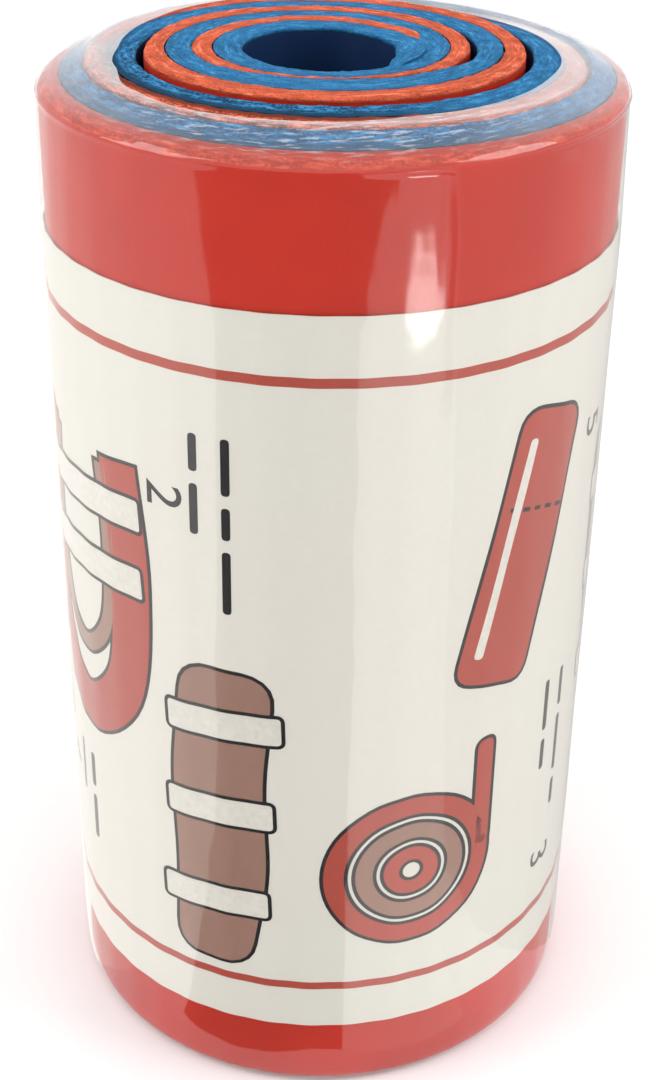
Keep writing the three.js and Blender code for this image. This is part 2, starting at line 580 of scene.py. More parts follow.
def finish_piece(piece, material):
    """Gives a piece its material, body and slot, and shades it smooth but for its sharp edges"""
    piece.data.materials.clear()
    piece.data.materials.append(material)
    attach(piece, BODY)
    activate(piece)
    bpy.ops.object.shade_smooth_by_angle(angle=SMOOTH_BELOW)


# Foam strips

# Places of the close cuts in millimetres: below the upper edge, above the lower one, in from each end
UPPER_STEPS = [0.1, 0.22, 0.38, 0.6, 0.9, 1.3, 1.9, 2.8, 4.6, 8.0, 14.0]
LOWER_STEPS = [0.15, 0.38, 0.8, 1.3, 2.8, 8.0]
END_STEPS = [0.15, 0.4, 0.8, 1.4, 2.2, 3.2, 4.2, 5.0, 6.5, 8.0, 10.0]
# Cuts across the foam, as shares of its thickness
ACROSS_SHARES = [0.07, 0.19, 0.34, 0.5, 0.66, 0.81, 0.93]
CORNER_STEPS = 6
LENGTH_CUTS = 31
# Side of the flat strip, along Y, that comes to lie outside in the roll
OUTWARD = -1
# Most of a foam's thickness that the round of its outer edge may take
FAR_ROUND_SHARE = 0.6
# Round of a foam's edge beside the sheet
CORE_ROUND = 0.12 * MM
# Depth from the cut edge to which the foams lean together over the sheet, and half the gap they leave
LEAN_HEIGHT = 0.75 * MM
LEAN_GAP = 0.03 * MM
# Depth over which the look of the cut edge fades out
CUT_FADE = 0.9 * MM
# Depth over which the tilt of the upper edge eases off
TILT_HEIGHT = 7 * MM
# How much of its cut look the outermost edge loses under the film's pull
PULLED_OVER = 0.5
# Turns from the outer end between which the outermost edge passes into a plain one
RIM_EASES_OFF = (0.9, 1.1)
# Size and share of the coarse and the fine torn cells
TEARS = (("Coarse", 1.5 * MM, 1.0), ("Fine", 0.55 * MM, 0.9))
# Level of the pattern at which the surface stays in place
TEAR_LEVEL = 0.62
# Weakest cut look that is torn at all
LEAST_CUT = 0.02


def flat_strip(name, roll, near, far, start):
    """A flat strip between two faces, with round corners and close rows where it is cut"""
    width = roll.strip.width
    length = roll.length
    low = (start, min(near, far), 0.0)
    high = (length, max(near, far), width)
    strip = new_block(name, low, high)
    edit(strip, "EDGE")
    pick(strip, "EDGE", lambda edge: abs(edge.verts[0].co.y - edge.verts[1].co.y) > MM / 2)
    bpy.ops.mesh.bevel(offset=roll.strip.corner_radius, segments=CORNER_STEPS, affect="EDGES")
    ends = [step * MM for step in END_STEPS]
    cut([start + step for step in ends] + [length - step for step in ends], 0)
    cut([width - step * MM for step in UPPER_STEPS], 2)
    cut([step * MM for step in LOWER_STEPS], 2)
    cut([lerp(near, far, share) for share in ACROSS_SHARES], 1)
    first, last = start + ends[-1], length - ends[-1]

    def runs_along(edge):
        a, b = sorted((edge.verts[0].co.x, edge.verts[1].co.x))
        return abs(a - first) < MM / 100 and abs(b - last) < MM / 100

    pick(strip, "EDGE", runs_along)
    bpy.ops.mesh.subdivide(number_cuts=LENGTH_CUTS)
    pick(strip, "EDGE", lambda edge: within(edge, first, last) and straight_along(edge))
    bpy.ops.mesh.subdivide(number_cuts=LENGTH_CUTS)
    leave_edit()
    return strip


STRAIGHT_LEAST = 0.999


def straight_along(edge):
    """True for an edge that runs straight along the strip"""
    span = edge.verts[1].co - edge.verts[0].co
    return abs(span.x) > STRAIGHT_LEAST * span.length


def within(edge, first, last):
    """True for an edge between two places along the strip"""
    return all(first - MM / 100 <= corner.co.x <= last + MM / 100 for corner in edge.verts)


def edge_place(x, z, length, width, corner):
    """Distance from the nearest cut edge of the strip, and the way in from it"""
    end = min(x, length - x)
    side = min(z, width - z)
    to_middle = Vector((1.0 if x < length / 2 else -1.0, 0.0, 1.0 if z < width / 2 else -1.0))
    if end < corner and side < corner:
        away = Vector(((corner - end) * to_middle.x, 0.0, (corner - side) * to_middle.z))
        if away.length > 0:
            return corner - away.length, away.normalized()
    if end < side:
        return end, Vector((to_middle.x, 0.0, 0.0))
    return side, Vector((0.0, 0.0, to_middle.z))


def rounded(deep, down, radius):
    """Moves a place on a square corner, given by its depths from both faces, on to a round one"""
    if radius <= 0 or deep >= radius or down >= radius:
        return deep, down
    share = (radius - down + deep) / (2 * radius)
    angle = share * math.pi / 2
    return radius - radius * math.cos(angle), radius - radius * math.sin(angle)


def press_strip(piece, roll, near, far, start, rows, tip_share, rim):
    """Thins the strip where it is pressed, rounds its edges and notes where it is cut"""
    strip = roll.strip
    full = abs(far - near)
    way = math.copysign(1.0, far - near)
    eases, eased = RIM_EASES_OFF
    mesh = piece.data
    for label, kind in (("cut", "FLOAT"), ("torn", "FLOAT"), ("strip_place", "FLOAT_VECTOR")):
        mesh.attributes.new(label, kind, "POINT")
    cuts, torn_shading, places = (mesh.attributes[label] for label in ("cut", "torn", "strip_place"))
    for vertex in mesh.vertices:
        x, z = vertex.co.x, vertex.co.z
        turn = roll.turn_at(x)
        outside = strip.turns - turn
        pressed = roll.fullness(min(x - start, roll.length - x))
        share = row_value(rows, outside) * lerp(tip_share, 1.0, pressed)
        across = abs(vertex.co.y - near) / full
        thick = full * share
        length = roll.length - start
        down, inward = edge_place(x - start, z, length, strip.width, strip.corner_radius)
        down = max(down, 0.0)
        pulled = 1 - smooth((outside - eases) / (eased - eases))
        far_round = lerp(strip.edge_round, rim, pulled)
        far_round = min(far_round, FAR_ROUND_SHARE * thick)
        from_far = (1 - across) * thick
        from_near = across * thick
        deep, new_down = rounded(from_far, down, far_round)
        moved = deep - from_far
        deep, newer_down = rounded(from_near, down, min(CORE_ROUND, thick / 4))
        moved -= deep - from_near
        sunk = max(new_down, newer_down)
        lean = (strip.bond_gap + strip.core_thickness / 2 - LEAN_GAP) * (1 - across)
        lean *= 1 - smooth(down / LEAN_HEIGHT)
        depth = across * thick - moved - lean
        vertex.co.y = near + way * depth
        shift = inward * (sunk - down)
        vertex.co.x += shift.x
        lift = row_value(TILT_ROWS, outside) * vertex.co.y
        vertex.co.z += shift.z + lift * (1 - smooth((strip.width - z) / TILT_HEIGHT))
        bare = 1 - PULLED_OVER * pulled if rim > strip.edge_round else 1.0
        cuts.data[vertex.index].value = bare * (1 - smooth(down / CUT_FADE))
        places.data[vertex.index].vector = (x, depth, z)
        torn_shading.data[vertex.index].value = row_value(TORN_SHADE_ROWS, outside)


def roughen(piece, depth):
    """Tears the cut edges a little, in coarse and fine cells"""
    group = piece.vertex_groups.new(name="Cut")
    for item, vertex in zip(piece.data.attributes["cut"].data, piece.data.vertices):
        if item.value > LEAST_CUT:
            group.add([vertex.index], item.value, "REPLACE")
    for label, size, share in TEARS:
        ruffle(piece, f"{piece.name} {label}", size, 1, depth * share, TEAR_LEVEL, group.name)


def roll_up(piece, roll):
    """Winds a flat strip into the roll"""
    path = new_path("Bond line", roll.points, False)
    wind(piece, path)
    drop(path)


def rolled_foam(name, node, roll, near, far, start, rows, tip_share, rim):
    """One foam of the strip, rolled up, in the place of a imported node"""
    foam = flat_strip(name, roll, near, far, start)
    press_strip(foam, roll, near, far, start, rows, tip_share, rim)
    roll_up(foam, roll)
    roughen(foam, roll.strip.cut_depth)
    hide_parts(node)
    return foam


# How far the sheet lies inside the foams, at its long edges and at its ends
CORE_INSET = 0.9 * MM
CORE_END_INSET = 2.0 * MM


def rolled_sheet(name, node, roll):
    """The soft sheet between the foams, a little narrower and shorter than they are"""
    half = roll.strip.core_thickness / 2
    low = (roll.strip.blue_lead + CORE_END_INSET, -half, CORE_INSET)
    high = (roll.length - CORE_END_INSET, half, roll.strip.width - CORE_INSET)
    sheet = new_block(name, low, high)
    edit(sheet, "EDGE")
    for _ in range(2):
        pick(sheet, "EDGE", straight_along)
        bpy.ops.mesh.subdivide(number_cuts=LENGTH_CUTS // 2)
    leave_edit()
    roll_up(sheet, roll)
    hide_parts(node)
    return sheet


# Label and its print


def ring_of(node, height):
    """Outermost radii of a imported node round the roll's axis near a height, by azimuth"""
    radii = {}
    axis = roll_of(bpy.context.scene).axis
    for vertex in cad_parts[node].data.vertices:
        if abs(vertex.co.z - height) > MM / 10:
            continue
        x, y = vertex.co.x - axis.x, vertex.co.y - axis.y
        azimuth = round(math.degrees(math.atan2(y, x)) % 360, 2)
        radius = math.hypot(x, y)
        radii[azimuth] = max(radii.get(azimuth, radius), radius)
    return sorted(radii.items())


def curve_point(a, b, c, d, part):
    """A point between b and c on an even curve through four points"""
    slope = part * (c - a)
    bend = part * part * (2 * a - 5 * b + 4 * c - d)
    twist = part**3 * (3 * (b - c) + d - a)
    return 0.5 * (2 * b + slope + bend + twist)


WRAP_POINTS = 480
SEAM_AZIMUTH = 90.0


def wrap_path(name, node, height, depth):
    """A closed, even path round the roll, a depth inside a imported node's outer face"""
    azimuths, radii = zip(*ring_of(node, height))
    count = len(radii)
    axis = roll_of(bpy.context.scene).axis
    points = []
    for step in range(WRAP_POINTS):
        azimuth = (SEAM_AZIMUTH + 360.0 * step / WRAP_POINTS) % 360
        place = bisect.bisect_right(azimuths, azimuth) - 1
        start = azimuths[place] if place >= 0 else azimuths[-1] - 360
        stop = azimuths[(place + 1) % count] + (360 if place + 1 == count else 0)
        part = (azimuth - start) / (stop - start)
        radius = curve_point(*(radii[(place + k) % count] for k in (-1, 0, 1, 2)), part) - depth
        angle = math.radians(azimuth)
        points.append(axis + Vector((radius * math.cos(angle), radius * math.sin(angle), 0.0)))
    return new_path(name, points, True), points


def path_length(points, closed):
    """Length of a line through points, back to its start where it is closed"""
    ends = points[1:] + points[:1] if closed else points[1:]
    return sum((b - a).length for a, b in zip(points, ends))


def front_length(points):
    """Length along a wrap from its seam to the front of the roll"""
    axis = roll_of(bpy.context.scene).axis
    front = min(range(len(points)), key=lambda i: points[i].y + abs(points[i].x - axis.x))
    return path_length(points[: front + 1], False)


PAPER_THICKNESS = 0.12 * MM
# Depth of the paper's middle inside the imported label's outer face
PAPER_DEPTH = 0.075 * MM
LABEL_CUTS = 15
# Heights of the cuts across the label above its foot, in millimetres
LABEL_ROWS = [0.4, 1.5, 6, 16, 28, 42, 56, 68, 78, 83.5, 84.6]


def label_sheet(low, high, length):
    """A flat sheet as long as the way round the roll, cut in rows so that it bends evenly"""
    half = PAPER_THICKNESS / 2
    sheet = new_block("label_sheet", (0.0, -half, low), (length, half, high))
    edit(sheet, "EDGE")
    cut([low + row * MM for row in LABEL_ROWS], 2)
    for _ in range(2):
        pick(sheet, "EDGE", straight_along)
        bpy.ops.mesh.subdivide(number_cuts=LABEL_CUTS)
    leave_edit()
    return sheet


def flat_shape(name, outline, grow=0.0):
    """A filled outline that stands upright on the label, with X along it and Z up"""
    data = bpy.data.curves.new(name, "CURVE")
    data.dimensions = "2D"
    data.fill_mode = "BOTH"
    for loop in outline:
        spline = data.splines.new("POLY")
        spline.points.add(len(loop) - 1)
        for place, (u, v) in zip(spline.points, loop):
            place.co = (u * MM, v * MM, 0.0, 1.0)
        spline.use_cyclic_u = True
    data.offset = grow
    shape = bpy.data.objects.new(name, data)
    bpy.context.scene.collection.objects.link(shape)
    return upright(shape)


def upright(shape):
    """Makes a flat shape a mesh and stands it up, so that its Y points along Z"""
    activate(shape)
    bpy.ops.object.convert(target="MESH")
    shape = bpy.context.object
    shape.rotation_euler = (math.pi / 2, 0.0, 0.0)
    bpy.ops.object.transform_apply(location=True, rotation=True, scale=True)
    return shape


def numeral(text, u, v, size):
    """A plain numeral that reads from below upwards"""
    deselect()
    bpy.ops.object.text_add(location=(u * MM, v * MM, 0.0))
    letter = bpy.context.object
    letter.data.body = text
    letter.data.size = size * MM
    letter.data.align_x = "CENTER"
    letter.data.align_y = "CENTER"
    letter.data.resolution_u = 4
    bpy.ops.object.convert(target="MESH")
    letter = bpy.context.object
    letter.rotation_euler = (0.0, 0.0, -math.pi / 2)
    bpy.ops.object.transform_apply(location=True, rotation=True, scale=True)
    return upright(letter)


def round_outline(corners, radius, steps=5):
    """A closed outline through corners, each replaced by an arc of up to a radius"""
    points = []
    count = len(corners)
    for i, corner in enumerate(corners):
        here = Vector(corner)
        before, after = Vector(corners[i - 1]), Vector(corners[(i + 1) % count])
        back, on = (before - here), (after - here)
        reach = min(radius, back.length / 2.05, on.length / 2.05)
        start, stop = here + back.normalized() * reach, here + on.normalized() * reach
        for step in range(steps + 1):
            part = step / steps
            point = start.lerp(here, part).lerp(here.lerp(stop, part), part)
            points.append((point.x, point.y))
    return points


def ring_outline(u, v, radius, count=48):
    """A circle as a closed outline"""
    angles = [2 * math.pi / count * i for i in range(count)]
    return [(u + radius * math.cos(angle), v + radius * math.sin(angle)) for angle in angles]


def turned(outline, u, v, degrees):
    """An outline about the origin turned and moved to its place"""
    cosine, sine = math.cos(math.radians(degrees)), math.sin(math.radians(degrees))
    return [(u + cosine * x - sine * y, v + sine * x + cosine * y) for x, y in outline]


def offset_place(u, v, x, y, degrees):
    """A place beside another, in directions that turn with the print"""
    (place,) = turned([(x, y)], u, v, degrees)
    return place


def ribbon(points, width, steps=8):
    """The outline of a ribbon of even width along a bent line"""
    line = []
    for i in range(len(points) - 1):
        a = Vector(points[max(i - 1, 0)])
        b, c = Vector(points[i]), Vector(points[i + 1])
        d = Vector(points[min(i + 2, len(points) - 1)])
        for step in range(steps):
            line.append(curve_point(a, b, c, d, step / steps))
    line.append(Vector(points[-1]))
    left, right = [], []
    for i, place in enumerate(line):
        along = line[min(i + 1, len(line) - 1)] - line[max(i - 1, 0)]
        side = Vector((-along.y, along.x)).normalized() * width / 2
        left.append(tuple(place + side))
        right.append(tuple(place - side))
    return left + right[::-1]


def bar(width, height):
    """A plain oblong about the origin"""
    x, y = width / 2, height / 2
    return [(-x, -y), (x, -y), (x, y), (-x, y)]


# Each sign below yields its prints. A print is its ink, its layer over the paper, its loops in
# millimetres, and whether a black outline stands round it.


def coil_sign(u, v):
    """The end of a rolled strip"""
    yield "red", 1, [ring_outline(u, v, 9.6), ring_outline(u, v, 7.4)], True
    yield "tan", 1, [ring_outline(u, v, 6.2), ring_outline(u, v, 4.3)], True
    yield "red", 1, [ring_outline(u, v, 3.1), ring_outline(u, v, 1.4)], True
    yield "red", 1, [turned(round_outline(bar(2.2, 14), 1.0), u + 8.5, v + 7.4, 0)], True


def bow_sign(u, v):
    """A strip bent into a bow and held by two bands"""
    line = [(-8.2, 17), (-9.2, 4), (-7.0, -9), (0.6, -15.5), (8.0, -9.5), (9.6, 4), (8.4, 17)]
    place = [(u + x, v + y) for x, y in line]
    yield "red", 1, [ribbon(place, 5.6)], True
    inner = [(u + x * 0.66, v + y * 0.72 + 3.6) for x, y in line]
    yield "tan", 1, [ribbon(inner, 1.9)], True
    for height in (3.4, 11.2):
        yield "white", 3, [turned(round_outline(bar(22.5, 3.4), 0.4), u + 0.2, v + height, 4)], True


def flat_sign(u, v, degrees):
    """A flat strip with round corners and a cut line"""
    yield "red", 1, [turned(round_outline(bar(9.6, 30), 2.4), u, v, degrees)], True
    line_place = offset_place(u, v, -2.6, 0, degrees)
    yield "white", 2, [turned(round_outline(bar(1.1, 24), 0.5), *line_place, degrees)], False
    for step in range(5):
        place = offset_place(u, v, -3.6 + 1.8 * step + 0.5, 4.5, degrees)
        yield "black", 2, [turned(bar(1.0, 0.45), *place, degrees)], False


def wrapped_sign(u, v, degrees):
    """A padded roll with bands round it"""
    body = [(-4.2, -19), (4.4, -19), (5.8, -6), (4.6, 6), (5.2, 19), (-4.8, 19), (-5.6, 5), (-4.4, -7)]
    yield "tan", 1, [turned(round_outline(body, 3.4), u, v, degrees)], True
    for height, width in ((-10.5, 12.2), (1.5, 12.0), (12.5, 12.6)):
        place = offset_place(u, v, 0, height, degrees)
        yield "white", 3, [turned(round_outline(bar(width, 3.3), 0.5), *place, degrees + 5)], True


def caption_bars(u, v, rows):
    """Plain strokes in the place of a caption, read from above downwards"""
    for row, strokes in enumerate(rows):
        top = v
        for length in strokes:
            place = (u - 3.4 * row, top - length / 2)
            yield "black", 0, [turned(round_outline(bar(0.9, length), 0.45), *place, 0)], False
            top -= length + 1.3


def label_prints():
    """All the prints, by place from the middle of the label's front and above its foot"""
    yield from bow_sign(-30, 49)
    yield from wrapped_sign(-10, 27, -3)
    yield from caption_bars(-8.5, 72, ((6, 3.5, 7), (4, 5.5)))
    yield from flat_sign(23, 57, -14)
    yield from coil_sign(11, 21)
    yield from caption_bars(33, 38, ((5, 7.5, 3.5), (6.5, 4)))
    yield from wrapped_sign(46, 45, 3)
    yield from caption_bars(-30, 26, ((4.5, 6), (7,)))
    yield from wrapped_sign(-50, 34, 0)
    yield from bow_sign(74, 40)
    yield from flat_sign(-74, 40, 12)
    yield from caption_bars(60, 44, ((6, 3.5, 7), (4, 5.5)))
    yield from caption_bars(-60, 46, ((5, 7.5), (6.5, 4)))


# Each numeral and its place on the label, in millimetres
NUMERALS = [
    ("2", -15.5, 64.5),
    ("3", 31.0, 13.0),
    ("4", -37.5, 22.0),
    ("5", 36.0, 66.0),
    ("6", 60.0, 54.0),
    ("7", -60.0, 56.0),
]
NUMERAL_SIZE = 6.0


def ink_name(ink, layer):
    return f"label_{ink}_print_{layer}"


def join_shapes(name, shapes):
    """Joins flat shapes into one piece"""
    deselect()
    for shape in shapes:
        shape.select_set(True)
    bpy.context.view_layer.objects.active = shapes[0]
    if len(shapes) > 1:
        bpy.ops.object.join()
    joined = bpy.context.object
    joined.name = name
    return joined


def raise_print(piece, base, ink, step):
    """Cuts a flat print where the label is cut, so that both bend alike, and gives it its thickness"""
    edit(piece, "FACE")
    places = [vertex.co.x / step for vertex in bmesh.from_edit_mesh(piece.data).verts]
    cut([step * i for i in range(math.floor(min(places)) + 1, math.ceil(max(places)))], 0)
    bpy.ops.mesh.select_all(action="SELECT")
    bpy.ops.mesh.remove_doubles(threshold=MM / 1000)
    bpy.ops.mesh.extrude_region_move(TRANSFORM_OT_translate={"value": (0.0, -ink, 0.0)})
    bpy.ops.mesh.select_all(action="SELECT")
    bpy.ops.transform.translate(value=(0.0, -base, 0.0))
    bpy.ops.mesh.normals_make_consistent(inside=False)
    leave_edit()


def border_lines(label, low, length):
    """The two lines that run all round the label"""
    half = label.line_width / 2 / MM
    end = length / MM
    for height in (label.upper_line, label.lower_line):
        middle = (low + height) / MM
        foot, top = middle - half, middle + half
        yield flat_shape("Border line", [[(0.0, foot), (end, foot), (end, top), (0.0, top)]])


def label_shapes(label, front, low):
    """All the flat shapes of the print but for the border lines, by ink and layer"""
    shapes = {}
    across, up = front / MM, low / MM
    for ink, layer, loops, outlined in label_prints():
        placed = [[(u + across, v + up) for u, v in loop] for loop in loops]
        shapes.setdefault((ink, layer), []).append(flat_shape("Print", placed))
        if outlined:
            grown = flat_shape("Outline", placed, label.outline)
            shapes.setdefault(("black", layer - 1), []).append(grown)
    for text, u, v in NUMERALS:
        figure = numeral(text, u + across, v + up, NUMERAL_SIZE)
        shapes.setdefault(("black", 0), []).append(figure)
    return shapes


# Film

# How far the film's open edge lies outside its even oval, in millimetres, by shares of a turn that are
# counted from the right side against the clock
FILM_EDGE_ROWS = [
    (0.0, -0.4), (0.25, -0.5), (0.36, -1.4), (0.42, -1.9), (0.5, -1.9), (0.56, -0.9), (0.61, 0.6),
    (0.66, 1.1), (0.7, 0.85), (0.75, 0.45), (0.83, -0.4), (0.94, -0.8), (1.0, -0.4),
]
# Width from the open edge over which its shift eases off
FILM_FOLD_WIDTH = 3.5 * MM
# Way in from the outer face over which the film comes to rest on the cut edge, and the share of it at
# which this starts
FILM_REST_WIDTH = 1.2 * MM
FILM_REST_START = 0.6
# Gap between the film's outer skin and the foam
FILM_CLEARANCE = 0.17 * MM
# Height where the wall meets the rim, and the height over which the corner takes hold of the film
CORNER_FOOT = 106.9 * MM
CORNER_FADE = 0.5 * MM
# Heights of the cuts round the film below the rim, in millimetres
CORNER_ROWS = [105.9, 106.4, 106.9]
# Parts into which the film's way round is sorted, and the part at the front
EDGE_PARTS = 160
FRONT_PART = 3 * EDGE_PARTS // 4
# Height above which the wall leans in to the foam
UPPER_WALL = 93 * MM
# Width over which the height passes from the outermost turn to the next
SEAM_WIDTH = 1.2 * MM
FILM_WALL_CUTS = 15
FILM_LEVELS = 2
# Size of the film's broad slack and of its fine pucker, and what the ripple is divided by there
FILM_WAVES = (("Slack", 16 * MM, 1), ("Pucker", 4 * MM, 3))
# A face of the outer skin points out and away from the middle by more than this
OUTER_LEAST = 0.2
# An upright edge of the wall is longer than this share of the film's half height, and this steep
UPRIGHT_LENGTH = 0.9
UPRIGHT_SLOPE = 0.98


def facing_out(face, axis, half):
    """True on the film's outer skin, and not on its inner one or its edges"""
    middle = face.calc_center_median()
    radial = Vector((middle.x - axis.x, middle.y - axis.y, 0.0)).normalized()
    upward = 1.0 if middle.z > half else -1.0
    return face.normal.dot(radial) + upward * face.normal.z > OUTER_LEAST


def strip_edge_radius(roll, turn):
    """Radius of the outermost turn's outer face, by a share of a turn from the right"""
    outside = (BACK_SHARE - turn) % 1.0
    return roll.plain_face(roll.strip.turns - outside)


def cut_height(roll, turn, radius):
    """Height of the upper cut edge, by a share of a turn from the right and a distance from the axis"""
    strip = roll.strip
    outside = (BACK_SHARE - turn) % 1.0
    heights = []
    for lap in (outside, outside + 1):
        bond = roll.bond_radius(strip.turns - lap)
        rise = strip.foot + strip.telescope * row_value(PROUD_ROWS, lap)
        heights.append(rise + strip.width + row_value(TILT_ROWS, lap) * (bond - radius))
    # The last bond is the second turn's, and the line between the turns is that turn's outer face.
    orange = strip.orange_thickness * row_value(ORANGE_ROWS, outside + 1)
    seam = bond + strip.core_thickness / 2 + strip.bond_gap + orange
    return lerp(heights[1], heights[0], smooth((radius - seam) / SEAM_WIDTH + 0.5))


def lay_fold(sheet, roll):
    """Stands the film's wall upright to the rim, and lays its fold on the cut edge, to its open edge"""
    edges, walls = {}, {}
    ways = {vertex.index: (vertex.co - roll.axis).xy for vertex in sheet.data.vertices}
    turns = {index: math.atan2(way.y, way.x) / (2 * math.pi) % 1.0 for index, way in ways.items()}
    parts = {index: round(EDGE_PARTS * turn) % EDGE_PARTS for index, turn in turns.items()}
    upper = [vertex for vertex in sheet.data.vertices if vertex.co.z > UPPER_WALL]
    for vertex in upper:
        part, reach = parts[vertex.index], ways[vertex.index].length
        if vertex.co.z > CORNER_FOOT:
            edges[part] = min(edges.get(part, reach), reach)
        else:
            walls[part] = max(walls.get(part, reach), reach)
    gap = walls[FRONT_PART] - strip_edge_radius(roll, FRONT_PART / EDGE_PARTS)
    corner = sheet.vertex_groups.new(name="Corner")
    for vertex in upper:
        way, turn, part = ways[vertex.index], turns[vertex.index], parts[vertex.index]
        reach = way.length
        if vertex.co.z <= CORNER_FOOT:
            height = (vertex.co.z - UPPER_WALL) / (CORNER_FOOT - UPPER_WALL)
            reach = max(reach, walls[part]) - (gap - FILM_CLEARANCE) * height
            laid = 0.0
        else:
            shift = row_value(FILM_EDGE_ROWS, turn) * MM
            reach += shift * (1 - smooth((reach - edges[part]) / FILM_FOLD_WIDTH))
            way_in = strip_edge_radius(roll, turn) - reach
            laid = smooth(way_in / FILM_REST_WIDTH - FILM_REST_START)
        way *= reach / way.length
        vertex.co.x, vertex.co.y = roll.axis.x + way.x, roll.axis.y + way.y
        vertex.co.z = lerp(vertex.co.z, cut_height(roll, turn, reach) + FILM_CLEARANCE, laid)
        held = smooth((vertex.co.z - CORNER_FOOT) / CORNER_FADE) * (1 - laid)
        if held > 0:
            corner.add([vertex.index], held, "REPLACE")
    target = foam_copy()
    hug = sheet.modifiers.new("Hug", "SHRINKWRAP")
    hug.target = target
    hug.wrap_method = "NEAREST_SURFACEPOINT"
    hug.wrap_mode = "ABOVE_SURFACE"
    hug.offset = FILM_CLEARANCE
    hug.vertex_group = corner.name
    apply_modifier(sheet, hug)
    bpy.data.objects.remove(target)


def foam_copy():
    """Both foams as one passing object, for the film to rest on"""
    deselect()
    for name in ("orange_layer", "blue_layer"):
        bpy.data.objects[name].select_set(True)
    bpy.context.view_layer.objects.active = bpy.data.objects["orange_layer"]
    bpy.ops.object.duplicate()
    bpy.ops.object.join()
    return bpy.context.object


def film_sheet(film, roll):
    """The film's outer skin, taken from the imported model, evened out and given its own slack"""
    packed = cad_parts["clear_film"]
    sheet = bpy.data.objects.new("film_sheet", packed.data.copy())
    bpy.context.scene.collection.objects.link(sheet)
    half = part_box("clear_film")[1].z / 2
    edit(sheet, "FACE")
    bpy.ops.mesh.remove_doubles(threshold=MM / 1000)
    pick(sheet, "FACE", lambda face: not facing_out(face, roll.axis, half))
    bpy.ops.mesh.delete(type="FACE")
    bpy.ops.mesh.select_all(action="SELECT")
    bpy.ops.mesh.tris_convert_to_quads(face_threshold=math.pi, shape_threshold=math.pi)

    def is_upright(edge):
        """True for an edge that runs up the whole wall"""
        span = edge.verts[1].co - edge.verts[0].co
        return abs(span.z) > UPRIGHT_LENGTH * half and abs(span.z) > UPRIGHT_SLOPE * span.length

    pick(sheet, "EDGE", is_upright)
    bpy.ops.mesh.subdivide(number_cuts=FILM_WALL_CUTS)
    leave_edit()
    even = sheet.modifiers.new("Even", "SUBSURF")
    even.levels = FILM_LEVELS
    even.render_levels = FILM_LEVELS
    apply_modifier(sheet, even)
    edit(sheet)
    cut([row * MM for row in CORNER_ROWS], 2)
    leave_edit()
    lay_fold(sheet, roll)
    for name, size, parts in FILM_WAVES:
        ruffle(sheet, name, size, 0, film.ripple / parts, 0.5)
    for vertex in sheet.data.vertices:
        vertex.co.z = max(vertex.co.z, 0.0)
    wall = sheet.modifiers.new("Wall", "SOLIDIFY")
    wall.thickness = film.thickness
    wall.offset = -1.0
    apply_modifier(sheet, wall)
    return sheet


# Materials


def node(tree, kind, inputs=None, **settings):
    """A new node with its inputs linked or set"""
    made = tree.nodes.new(kind)
    for name, value in settings.items():
        setattr(made, name, value)
    for name, value in (inputs or {}).items():
        socket = made.inputs[name]
        if isinstance(value, bpy.types.NodeSocket):
            tree.links.new(value, socket)
        else:
            socket.default_value = value
    return made


def value_of(tree, operation, a, b=0.0, c=0.0):
    made = node(tree, "ShaderNodeMath", {0: a, 1: b, 2: c}, operation=operation)
    return made.outputs[0]


def mixed(tree, share, a, b):
    """Colour a passing into colour b"""
    made = tree.nodes.new("ShaderNodeMix")
    made.data_type = "RGBA"
    for place, value in ((0, share), (6, a), (7, b)):
        if isinstance(value, bpy.types.NodeSocket):
            tree.links.new(value, made.inputs[place])
        elif place == 0:
            made.inputs[0].default_value = value
        else:
            made.inputs[place].default_value = (*value[:3], 1.0)
    return made.outputs[2]


def ranged(tree, value, low, high, to_low=0.0, to_high=1.0):
    made = node(
        tree,
        "ShaderNodeMapRange",
        {"Value": value, "From Min": low, "From Max": high, "To Min": to_low, "To Max": to_high},
    )
    return made.outputs[0]


def noise_of(tree, vector, scale, detail=2.0, roughness=0.5):
    made = node(
        tree,
        "ShaderNodeTexNoise",
        {"Vector": vector, "Scale": scale, "Detail": detail, "Roughness": roughness},
    )
    return made.outputs[0]


def scaled(tree, vector, scale):
    """A vector stretched by its own number along each axis"""
    made = node(tree, "ShaderNodeVectorMath", {0: vector, 1: scale}, operation="MULTIPLY")
    return made.outputs["Vector"]


def attribute(tree, name, output):
    """A value that press_strip notes on each point of a foam"""
    return node(tree, "ShaderNodeAttribute", attribute_name=name).outputs[output]


def new_material(name):
    """A new material with its nodes and its shader"""
    material = bpy.data.materials.new(name)
    material.use_nodes = True
    tree = material.node_tree
    tree.nodes.clear()
    output = tree.nodes.new("ShaderNodeOutputMaterial")
    shader = tree.nodes.new("ShaderNodeBsdfPrincipled")
    tree.links.new(shader.outputs[0], output.inputs["Surface"])
    return material, tree, shader


def new_group(name, inputs, outputs):
    """An empty node group with named sockets, and its two ends"""
    group = bpy.data.node_groups.new(name, "ShaderNodeTree")
    kinds = {"value": "NodeSocketFloat", "vector": "NodeSocketVector", "colour": "NodeSocketColor"}
    for label, kind in inputs:
        group.interface.new_socket(label, in_out="INPUT", socket_type=kinds[kind])
    for label, kind in outputs:
        group.interface.new_socket(label, in_out="OUTPUT", socket_type=kinds[kind])
    return group, group.nodes.new("NodeGroupInput"), group.nodes.new("NodeGroupOutput")


